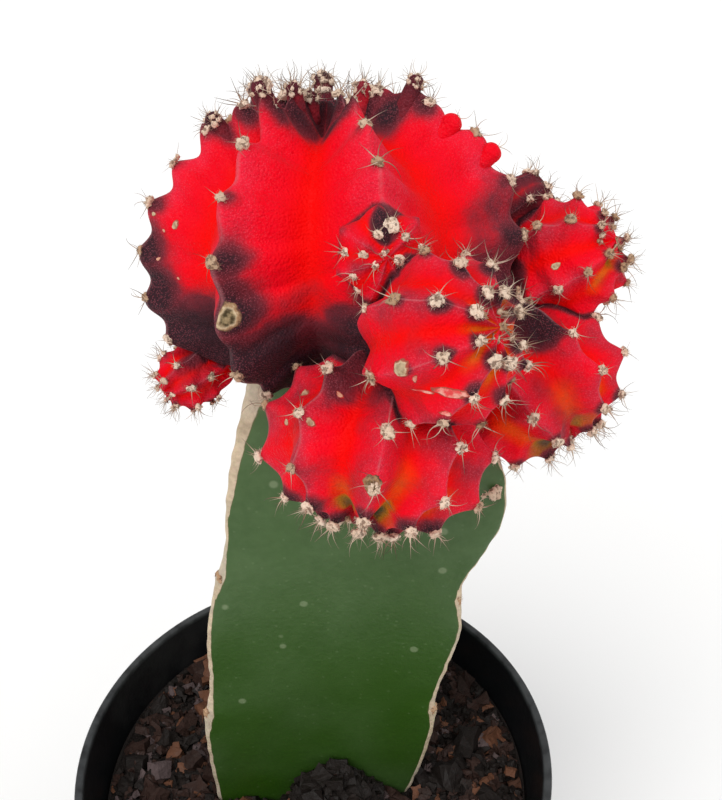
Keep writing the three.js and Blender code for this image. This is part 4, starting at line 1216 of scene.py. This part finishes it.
def head_reach(head, rib, polar):
    """The reach from a head's middle at rib numbers and polar angles, and how far off its rib."""
    upper = polar < math.pi / 2
    power = np.where(upper, 2, head["flat"])
    height = np.where(upper, head["crown"], head["root"])
    across = np.sin(polar) / head["radius"]
    rise = np.abs(np.cos(polar)) / height
    globe = (across**power + rise**power) ** (-1 / power)

    part = rib % 1
    off = 1 - np.abs(2 * part - 1)
    soft = rounded(off, RIDGE_EDGE)
    soft = 1 - rounded(1 - soft, GROOVE_FLOOR)
    whole = np.minimum(np.floor(rib), head["ribs"] - 1)
    half = (rib_bearing(head, whole + 1) - rib_bearing(head, whole)) / 2
    valley = 1 - head["groove"]
    chord = np.sin(half) / (np.sin(half * (1 - soft)) + np.sin(half * soft) / valley)
    chord += FACE_SWELL * np.sin(math.pi * off)
    fade = np.minimum(1, polar / CROWN_FADE) * np.minimum(1, (math.pi - polar) / ROOT_FADE)
    shoulder = np.exp(-(((polar - SHOULDER) / SHOULDER_SPREAD) ** 2))
    lobe = 1 + (chord - 1 - by_rib(head, "slope", rib, 0) * shoulder) * fade

    row = row_at(head, rib, np.maximum(polar, 1e-6))
    past = (row - ROW_SLANT * off) % 1
    wave = np.sin(math.pi * past ** head["lean"])
    between = rounded(np.abs(wave), NOTCH_EDGE) ** head["blunt"]
    swell = head["bump"] / 2 - along(head["notch"], row) * between
    young = np.minimum(1, row)
    old = np.clip(head["rows"] + 1 - row, 0, 1)
    bump = swell * (1 - off) * young * old

    dip = 1 - CROWN_DIP * np.exp(-((polar / CROWN_DIP_ANGLE) ** 2))
    return globe * lobe * dip + bump, off


def head_matrix(head):
    """Turns and moves a head's own frame to its place."""
    turn = Vector((0, 0, 1)).rotation_difference(Vector(head["axis"])).to_matrix().to_4x4()
    return (Matrix.Translation(Vector(head["centre"])) @ turn
            @ Matrix.Rotation(math.radians(head["spin"]), 4, "Z"))


def turned(matrix, ways):
    """Directions turned by a matrix, without its move."""
    return ways @ np.array(matrix)[:3, :3].T


def moved(matrix, places):
    """Places turned and moved by a matrix."""
    return turned(matrix, places) + np.array(matrix)[:3, 3]


def reach_at(head, rib, polar):
    """The reach from a head's middle at one rib number and polar angle."""
    return head_reach(head, np.array([float(rib)]), np.array([polar]))[0][0]


def ball_points(reach, bearing, polar):
    """Points in a head's own frame."""
    return np.stack([reach * np.sin(polar) * np.cos(bearing),
                     reach * np.sin(polar) * np.sin(bearing), reach * np.cos(polar)], -1)


def head_clearance(head, places):
    """How far places (n, 3) lie outside a head, measured from its middle."""
    local = moved(head_matrix(head).inverted(), places)
    distance = np.maximum(np.linalg.norm(local, axis=1), 1e-6)
    rib = rib_at(head, np.arctan2(local[:, 1], local[:, 0]))
    polar = np.arccos(np.clip(local[:, 2] / distance, -1, 1))
    return distance - head_reach(head, rib, polar)[0]


def neighbour_clearance(head, places):
    """How far places lie outside the nearest of the other heads."""
    return np.min([head_clearance(other, places) for other in HEADS if other is not head], axis=0)


def areole_seats(head):
    """The areoles of a head: places and outward directions on the plant, and their ribs and rows."""
    ribs, rows = (grid.ravel() for grid in np.meshgrid(
        np.arange(head["ribs"]), np.arange(1, head["rows"] + 1), indexing="ij"))
    polar = row_angle(head, ribs, rows)
    bearing = rib_bearing(head, ribs)
    reach = head_reach(head, ribs.astype(float), polar)[0]
    local = ball_points(reach, bearing, polar)
    height = np.where(polar < math.pi / 2, head["crown"], head["root"])
    out = unit(ball_points(1, bearing, polar) / np.stack([
        np.full(len(polar), head["radius"]), np.full(len(polar), head["radius"]), height], 1))
    return moved(head_matrix(head), local), turned(head_matrix(head), out), ribs, rows


def tint(head, places, key):
    """The share of one tint at places: each spot is a direction, a start, an end and a strength."""
    ways = unit(places - np.array(head["centre"]))
    share = np.zeros(len(places))
    for way, start, end, strength in head[key]:
        share = np.maximum(share, strength * ramp(ways @ unit(way), start, end))
    return share


def stain(head, places):
    """Purple-black stains beside the areoles, on their growing side."""
    seats, _, ribs, rows = areole_seats(head)
    bearing, polar = rib_bearing(head, ribs), row_angle(head, ribs, rows)
    upward = turned(head_matrix(head), np.stack([
        -np.cos(polar) * np.cos(bearing), -np.cos(polar) * np.sin(bearing), np.sin(polar)], 1))
    sideways = turned(head_matrix(head), np.stack([
        -np.sin(bearing), np.cos(bearing), np.zeros(len(bearing))], 1))
    side = np.array(head.get("stain_side", [0] * head["ribs"]))[ribs]
    by_row = np.array(head["patches"], float)
    level = rows / pace_at(head, ribs)
    strength = np.interp(level, by_row[:, 0], by_row[:, 1])
    size = np.interp(level, by_row[:, 0], by_row[:, 2])
    spots = seats + upward * (0.25 * size)[:, None] + sideways * (0.75 * size * side)[:, None]
    share = np.zeros(len(places))
    for spot, radius, amount in zip(spots, size, strength):
        away = np.linalg.norm(places - spot, axis=1) / radius
        share = np.maximum(share, amount * np.exp(-away**2.4))
    return share


def near_buds(head, bearing, polar):
    """How far the big head's skin rises under its crown's buds, and how dark it is round them."""
    rise, dark_skin = np.zeros(len(bearing)), np.zeros(len(bearing))
    if head["name"] == "scion_head":
        ways = ball_points(1, bearing, polar)
        for rib, polar_degrees, radius, out, dark, _ in BUDS:
            seat = ball_points(1, float(rib_bearing(head, rib)), math.radians(polar_degrees))
            away = head["crown"] * np.linalg.norm(ways - seat, axis=-1) / radius
            rise = np.maximum(rise, BUD_RISE * out * np.exp(-((away / BUD_SKIN) ** 2)))
            dark_skin = np.maximum(dark_skin, dark * np.exp(-((away / BUD_DARK) ** 2)))
    return rise, dark_skin


def skin_reach(head, rib, polar):
    """The reach of a head's finished skin at rib numbers and polar angles, and how far off its rib.

    It has shallow folds between the rows on the older half, fine wrinkles across the faces, and
    two sizes of low lumps."""
    reach, off = head_reach(head, rib, polar)
    bearing = rib_bearing(head, rib)
    local = ball_points(reach, bearing, polar)
    row = row_at(head, rib, np.maximum(polar, 1e-6))
    size = head["radius"]
    face = np.sin(math.pi * np.clip(off * 1.05, 0, 1))
    deepest = 0.5 ** (1 / head["lean"]) + 0.06
    fold = np.exp(-(((row - ROW_SLANT * off) % 1 - deepest) / 0.1) ** 2) * ramp(polar, 1.0, 1.8)
    reach = reach - 0.014 * size * fold * face
    drift = ripple(local, size * 0.16, 33)
    wrinkle = np.sin(TAU * (row * 4.2 + 0.8 * drift)) * ramp(polar, 1.25, 1.75)
    reach = reach + 0.0045 * size * wrinkle * face * (0.5 + 0.5 * drift)
    pole = ramp(np.sin(polar), 0, 0.25)
    lumps = 0.010 * ripple(local, size * 0.35, 31) + 0.0035 * ripple(local, size * 0.1, 32)
    return reach + pole * size * lumps + near_buds(head, bearing, polar)[0], off


def fineness(head):
    """How many columns a rib has and how many bands a row."""
    if head["radius"] > BIG_HEAD:
        return 36, 20
    if head["radius"] < SMALL_HEAD:
        return 14, 14
    return 26, 20


def make_head(head):
    per_rib, per_row = fineness(head)
    ribs = np.arange(head["ribs"] * per_rib) / per_rib
    last = math.radians(head["reach"])
    rows = np.arange(head["rows"] * per_row + 1) / per_row
    below = np.linspace(last, math.pi, int(per_row * head["rows"] * (math.pi - last) / last) + 2)[1:]
    polars = np.append(last * (rows / head["rows"]) ** head["spread"], below)
    polar, rib = (grid.ravel() for grid in np.meshgrid(polars, ribs, indexing="ij"))
    reach, off = skin_reach(head, rib, polar)
    local = ball_points(reach, rib_bearing(head, rib), polar)
    places = moved(head_matrix(head), local).reshape(len(polars), len(ribs), 3)
    mesh, places = skin_mesh(head["name"] + "_flesh", places)

    off = np.append(off.reshape(len(polars), len(ribs))[1:-1].ravel(), [0.5, 0.5])
    ridge = 1 - off
    valley = 1 - ramp(ridge, 0.1, 0.7)
    # Painted shade where heads press close together, laid in with the purple-black.
    contact_shade = 0.8 * (1 - ramp(neighbour_clearance(head, places), 0.0, 1.4))
    dusk = tint(head, places, "dusk") * (0.6 + 0.5 * ridge)
    dark_skin = near_buds(head, rib_bearing(head, rib), polar)[1].reshape(len(polars), len(ribs))
    dark_skin = np.append(dark_skin[1:-1].ravel(), [dark_skin[0, 0], dark_skin[-1, 0]])
    dusk = np.maximum(np.maximum(dusk, contact_shade), np.maximum(stain(head, places), dark_skin))
    glow = tint(head, places, "glow") * (0.25 + 0.9 * valley)
    leaf = tint(head, places, "leaf") * (0.5 + 0.6 * valley)
    add_numbers(mesh, ridge=ridge, dusk=dusk, glow=glow, leaf=leaf)
    flesh = make_object(head["name"] + "_flesh", mesh, FLESH)
    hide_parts(head["name"])


def make_scars():
    """Old scars, each a thin lens laid on its head's skin."""
    heads = {head["name"]: head for head in HEADS}
    bands, columns = 9, 28
    share = np.linspace(0, 1, bands)
    share = np.append(share, share[-2::-1])
    rim, angle = np.meshgrid(share, np.arange(columns) * TAU / columns, indexing="ij")
    top = np.arange(len(share))[:, None] < bands
    for number, (name, bearing, polar, width, height, hollow, pale, turn) in enumerate(SCARS):
        head = heads[name]
        bearing, polar, turn = (math.radians(angle) for angle in (bearing, polar, turn))
        out = ball_points(1, bearing, polar)
        east = np.array([-math.sin(bearing), math.cos(bearing), 0])
        south = np.cross(east, out)
        middle = reach_at(head, rib_at(head, bearing), polar)
        wobble = 1 + 0.09 * np.sin(3 * angle + number) + 0.06 * np.sin(7 * angle + 2 * number)
        u = rim * width / 2 * wobble * np.cos(angle)
        v = rim * height / 2 * wobble * np.sin(angle)
        u, v = u * math.cos(turn) - v * math.sin(turn), u * math.sin(turn) + v * math.cos(turn)
        ways = unit(out * middle + u[..., None] * east + v[..., None] * south)
        polars = np.arccos(np.clip(ways[..., 2], -1, 1)).ravel()
        ribs = rib_at(head, np.arctan2(ways[..., 1], ways[..., 0]).ravel())
        reach = skin_reach(head, ribs, polars)[0].reshape(rim.shape)
        thick = min(0.1, 0.04 + 0.03 * min(width, height))
        ring = np.exp(-(((rim - 0.75) / 0.15) ** 2))
        raised = thick + 0.14 * hollow * ring * min(1, width / 2)
        raised = raised * (1 - ramp(rim, 0.8, 1.0)) - 0.06 * ramp(rim, 0.8, 1.0)
        rough = ripple((ways * reach[..., None]).reshape(-1, 3), 0.5, 40 + number)
        raised += 0.3 * thick * rough.reshape(rim.shape)
        lift = np.where(top, raised, -0.5)
        rings = moved(head_matrix(head), (ways * (reach + lift)[..., None]).reshape(-1, 3))
        mesh, places = skin_mesh(f"scar_{number + 1}", rings.reshape(*rim.shape, 3))
        spread = np.append(rim[1:-1].ravel(), [0, 0])
        add_numbers(mesh, deep=hollow * (1 - ramp(spread, 0.45, 0.72)), edge=spread,
                    pale=np.full(len(places), pale))
        make_object(f"scar_{number + 1}", mesh, CORK)


def inside_box(places, ways, lengths):
    """Shortens what would reach past the solids' box, given places, unit directions and lengths."""
    low, high = np.array(cad_box) / MM
    kept = lengths.copy()
    for axis in range(3):
        with np.errstate(divide="ignore", invalid="ignore"):
            room = np.where(ways[:, axis] > 0, high[axis] - places[:, axis], low[axis] - places[:, axis])
            limit = room / ways[:, axis]
        kept = np.where(np.abs(ways[:, axis]) > 1e-6, np.minimum(kept, limit - 0.1), kept)
    return kept


def around(out):
    """Two directions square to `out` and to each other."""
    side = unit(np.cross(out, (0.3, 0.2, 1.0)))
    return side, np.cross(out, side)


def spine_ring(rng, place, out, size, count, lean=(35, 80)):
    """Spines that spread from one areole: (place, way, length, tone) for each."""
    side, over = around(out)
    made = []
    first = rng.uniform(0, TAU)
    for k in range(count):
        turn = first + (k + rng.uniform(-0.3, 0.3)) / count * TAU
        tilt = math.radians(rng.uniform(*lean))
        way = out * math.cos(tilt) + (side * math.cos(turn) + over * math.sin(turn)) * math.sin(tilt)
        made.append((place + way * 0.15, way, size * rng.uniform(0.55, 1.2), rng.random()))
    return made


def scarred(head, places):
    """True where an areole has turned into a scar."""
    hit = np.zeros(len(places), bool)
    for name, bearing, polar, width, _, _, pale, _ in SCARS:
        if name == head["name"] and width > SCAR_WIDTH and 0 < pale < 0.5:
            bearing, polar = math.radians(bearing), math.radians(polar)
            reach = reach_at(head, rib_at(head, bearing), polar)
            spot = moved(head_matrix(head), ball_points(reach, bearing, polar))
            hit |= np.linalg.norm(places - spot, axis=1) < SCAR_CLEAR
    return hit


def chosen_seats(head):
    """The areoles of a head that has them where a list says: places, directions, sizes, rows."""
    bearing, polar, size = np.array(head["areoles"], float).T
    bearing, polar = np.radians(bearing), np.radians(polar)
    size = size * CHOSEN_WOOL
    reach = head_reach(head, rib_at(head, bearing), polar)[0]
    wide = np.stack([np.full(len(polar), head["radius"])] * 2 + [np.full(len(polar), head["crown"])], 1)
    out = turned(head_matrix(head), unit(ball_points(1, bearing, polar) / wide))
    places = moved(head_matrix(head), ball_points(reach, bearing, polar))
    return places, out, size, np.full(len(size), 2)


def make_areoles(head, seed):
    """Wool and spines at each areole of a head that isn't pressed into its neighbours."""
    rng = np.random.default_rng(seed)
    if "areoles" in head:
        places, outs, sizes, rows = chosen_seats(head)
    else:
        places, outs, _, rows = areole_seats(head)
        sizes = np.full(len(rows), head["wool"])
        clear = ~scarred(head, places)
        places, outs, sizes, rows = places[clear], outs[clear], sizes[clear], rows[clear]
    free = np.minimum(neighbour_clearance(head, places), stem_clearance(places)) > AREOLE_ROOM
    big = head["radius"] > BIG_HEAD
    tufts, spines = [], []
    for place, out, size, row in zip(places[free], outs[free], sizes[free], rows[free]):
        young = row <= YOUNG_ROWS
        wool = size * rng.uniform(0.72, 1.12) * (1.1 if big and young else 1)
        tone = rng.uniform(0, 0.5) if young else rng.uniform(0.1, 1)
        tone += head["aged"] * young
        if rng.random() < 0.25 and not young:
            tufts += wool_ring(rng, place, out, wool, tone)
        else:
            tufts.append((place - out * 0.1, out, wool, tone))
            if wool > 0.6:
                tufts += wool_ring(rng, place, out, wool * 0.8, tone)[:3]
        count = rng.integers(6, 10) if young else rng.integers(3, 6) if big else rng.integers(4, 8)
        length = head["spine"] * (1.15 if young and big else 1)
        lean = (15, 65) if young else (40, 84)
        if "areoles" in head:
            count, lean = 6, (10, 62)
        spines += spine_ring(rng, place, out, length, count, lean)
    for _ in range(head["heart"]):
        polar = HEART_ANGLE * math.sqrt(rng.random())
        bearing = rng.uniform(0, TAU)
        way = ball_points(1, bearing, polar)
        place = moved(head_matrix(head), way * reach_at(head, rib_at(head, bearing), polar))
        out = turned(head_matrix(head), way)
        tufts.append((place, out, head["wool"] * rng.uniform(0.4, 0.68), rng.uniform(0.3, 1.3)))
        spines += spine_ring(rng, place, out, head["spine"] * 0.85, 4, (5, 60))
    add_fuzz(head["name"], tufts, spines, head)


def wool_ring(rng, place, out, size, tone):
    """Small tufts round a bare middle, as old wool wears."""
    side, over = around(out)
    count = 7
    ring = []
    for k in range(count):
        turn = (k + rng.uniform(-0.2, 0.2)) / count * TAU
        spot = place + (side * math.cos(turn) + over * math.sin(turn)) * size * 0.62
        ring.append((spot, out, size * rng.uniform(0.3, 0.46), tone + rng.uniform(-0.1, 0.2)))
    return ring


def add_fuzz(name, tufts, spines, head=None):
    """Makes one piece of all a head's spines and one of its wool."""
    places, ways, lengths, tones = (np.array(column) for column in zip(*spines))
    lengths = inside_box(places, ways, lengths)
    tips = places + ways * lengths[:, None]
    middles = places + ways * lengths[:, None] * 0.5
    clear = np.minimum(stem_clearance(tips), stem_clearance(middles)) > SPINE_ROOM_STEM
    if head is not None:
        beside = np.minimum(neighbour_clearance(head, tips), neighbour_clearance(head, middles))
        clear &= beside > SPINE_ROOM_HEAD
    clear &= lengths > SHORTEST_SPINE
    seats = seat_mesh(name + "_spines", places[clear], ways[clear], lengths[clear], tones[clear])
    mesh = grown(name + "_spines", seats, NEEDLES, {"Thickness": 0.025, "Seed": 2, "Material": SPINE})
    make_object(name + "_spines", mesh, SPINE)

    places, ways, sizes, tones = (np.array(column) for column in zip(*tufts))
    seats = seat_mesh(name + "_wool", places, ways, sizes, tones)
    mesh = grown(name + "_wool", seats, TUFTS, {
        "Hairs": 9e6, "Hair Length": 0.00048, "Seed": 3, "Material": WOOL})
    make_object(name + "_wool", mesh, WOOL)


def bud_rings(radius, out):
    """The rings of a bud in its own frame: five low ribs on a ball, then a stalk that flares."""
    columns, bands, sunk = 50, 44, 3.0
    ball_share, widest = 0.45, 0.62  # shares of the bands on the ball, of the stalk to its flare
    angles = np.arange(columns) * TAU / columns
    share = np.linspace(0, 1, bands)
    polar = math.pi / 2 * np.minimum(share / ball_share, 1)
    fall = np.clip((share - ball_share) / (1 - ball_share), 0, 1)
    flare = radius * (1.08 + 0.08 * out)
    closing = np.clip((fall - widest) / (1 - widest), 0, 1)
    r = radius * np.sin(polar) + (flare - radius) * np.minimum(fall / widest, 1) ** 1.6
    r = r * np.sqrt(1 - closing**2)
    z = out + radius * np.cos(polar) - (out + sunk) * fall
    r, z, angle = r[:, None], z[:, None], angles[None, :]
    knob = np.abs(np.cos(2.5 * angle)) ** 0.8 * ramp(polar, 0.3, 1.1)[:, None] * (1 - fall[:, None])
    shape = 0.92 + 0.1 * knob
    rings = np.stack([r * shape * np.cos(angle), r * shape * np.sin(angle),
                      np.broadcast_to(z, (bands, columns))], -1)
    rings[0, :, :2] = 0
    rings[-1, :, :2] = 0
    return rings


def make_buds():
    """The small round buds on the big head's crown, each a tiny ribbed head on a cone."""
    scion = HEADS[0]
    rng = np.random.default_rng(77)
    tufts, spines = [], []
    for number, (rib, polar_degrees, radius, out, dark, woolly) in enumerate(BUDS):
        if woolly < 0:
            continue
        polar = math.radians(polar_degrees)
        bearing = float(rib_bearing(scion, rib))
        foot = ball_points(reach_at(scion, rib, polar), bearing, polar)
        way = ball_points(1, bearing, polar * 0.8)
        turn = Vector((0, 0, 1)).rotation_difference(Vector(way)).to_matrix().to_4x4()
        matrix = head_matrix(scion) @ Matrix.Translation(Vector(foot)) @ turn
        rings = bud_rings(radius, out)
        rings += 0.05 * ripple(rings.reshape(-1, 3), 0.9, 60 + number).reshape(*rings.shape[:2], 1)
        rings = moved(matrix, rings.reshape(-1, 3)).reshape(rings.shape)
        rings[0], rings[-1] = rings[0].mean(axis=0), rings[-1].mean(axis=0)
        mesh, places = skin_mesh(f"crown_bud_{number + 1}", rings)
        level = (places - np.array(matrix @ Vector((0, 0, 0)))) @ np.array(matrix.to_3x3())[:, 2]
        fade = 0.7 + 0.3 * ramp(level, 0.0, out)
        add_numbers(mesh, ridge=np.full(len(places), 0.55), dusk=dark * fade,
                    glow=np.zeros(len(places)), leaf=np.zeros(len(places)))
        make_object(f"crown_bud_{number + 1}", mesh, FLESH)

        axis = np.array(matrix.to_3x3() @ Vector((0, 0, 1)))
        tip = np.array(matrix @ Vector((0, 0, out + radius * 0.88)))
        if woolly < 0.05:
            continue
        tufts.append((tip, axis, radius * 0.38 * max(woolly, 0.5), rng.random() * 0.4))
        spines += spine_ring(rng, tip, axis, 2.2, 6 if woolly > 0.5 else 3, (10, 70))
        if woolly < 0.5:
            continue
        for ring_height, count in ((0.5, 4), (-0.15, 6)):
            for k in range(count):
                a = (k + 0.5 * (ring_height < 0) + rng.uniform(-0.2, 0.2)) * TAU / count
                side = Vector((math.cos(a), math.sin(a), ring_height))
                across = radius * math.sqrt(1 - ring_height**2)
                seat = np.array(matrix @ Vector((side.x * across, side.y * across,
                                                 out + ring_height * radius)))
                way = unit(np.array(matrix.to_3x3() @ Vector((side.x, side.y, 0.5))))
                wool = radius * rng.uniform(0.22, 0.36) * woolly
                tufts.append((seat, way, wool, rng.random() * 0.6))
                spines += spine_ring(rng, seat, way, 1.9, 3, (5, 60))
    add_fuzz("crown_buds", tufts, spines)


# ---- setting -------------------------------------------------------------------------------------

CAMERA = {"place": (10.14, -108.97, 227.72), "pitch": 32.7, "roll": -1.16, "lens": 40.5}


def make_camera():
    data = bpy.data.cameras.new("camera")
    data.lens = CAMERA["lens"]
    data.sensor_width = 36
    data.clip_start, data.clip_end = 0.005, 50
    camera = bpy.data.objects.new("camera", data)
    camera.matrix_world = (
        Matrix.Translation(Vector(CAMERA["place"]) * MM)
        @ Matrix.Rotation(math.radians(90 - CAMERA["pitch"]), 4, "X")
        @ Matrix.Rotation(math.radians(CAMERA["roll"]), 4, "Z"))
    bpy.context.scene.collection.objects.link(camera)
    bpy.context.scene.camera = camera


def make_floor():
    mesh = bpy.data.meshes.new("floor")
    side = 6.0
    mesh.from_pydata([(-side, -side, 0), (side, -side, 0), (side, side, 0), (-side, side, 0)],
                     [], [(0, 1, 2, 3)])
    mesh.materials.append(floor_material())
    floor = bpy.data.objects.new("floor", mesh)
    bpy.context.scene.collection.objects.link(floor)


def add_sun(name, azimuth, height, spread, strength, colour=(1, 1, 1)):
    """A soft even light from an azimuth and a height in degrees, `spread` degrees wide."""
    data = bpy.data.lights.new(name, "SUN")
    data.angle = math.radians(spread)
    data.energy = strength
    data.color = colour
    light = bpy.data.objects.new(name, data)
    azimuth, height = math.radians(azimuth), math.radians(height)
    toward = Vector((math.cos(azimuth) * math.cos(height), math.sin(azimuth) * math.cos(height),
                     math.sin(height)))
    light.rotation_euler = toward.to_track_quat("Z", "Y").to_euler()
    bpy.context.scene.collection.objects.link(light)


def make_lights():
    add_sun("window", -118, 52, 45, 1.9, (1.0, 0.99, 0.97))
    add_sun("fill", -35, 38, 80, 0.6, (0.97, 0.98, 1.0))
    world = bpy.data.worlds.new("studio")
    world.use_nodes = True
    world.node_tree.nodes["Background"].inputs["Color"].default_value = (1, 1, 1, 1)
    world.node_tree.nodes["Background"].inputs["Strength"].default_value = 0.54
    bpy.context.scene.world = world
    bpy.context.scene.view_settings.view_transform = "Standard"


# ---- the whole -----------------------------------------------------------------------------------

make_camera()
make_floor()
make_lights()
make_pot()
make_compost()
make_rootstock()
for order, head in enumerate(HEADS):
    make_head(head)
    make_areoles(head, 100 + order)
make_buds()
make_scars()
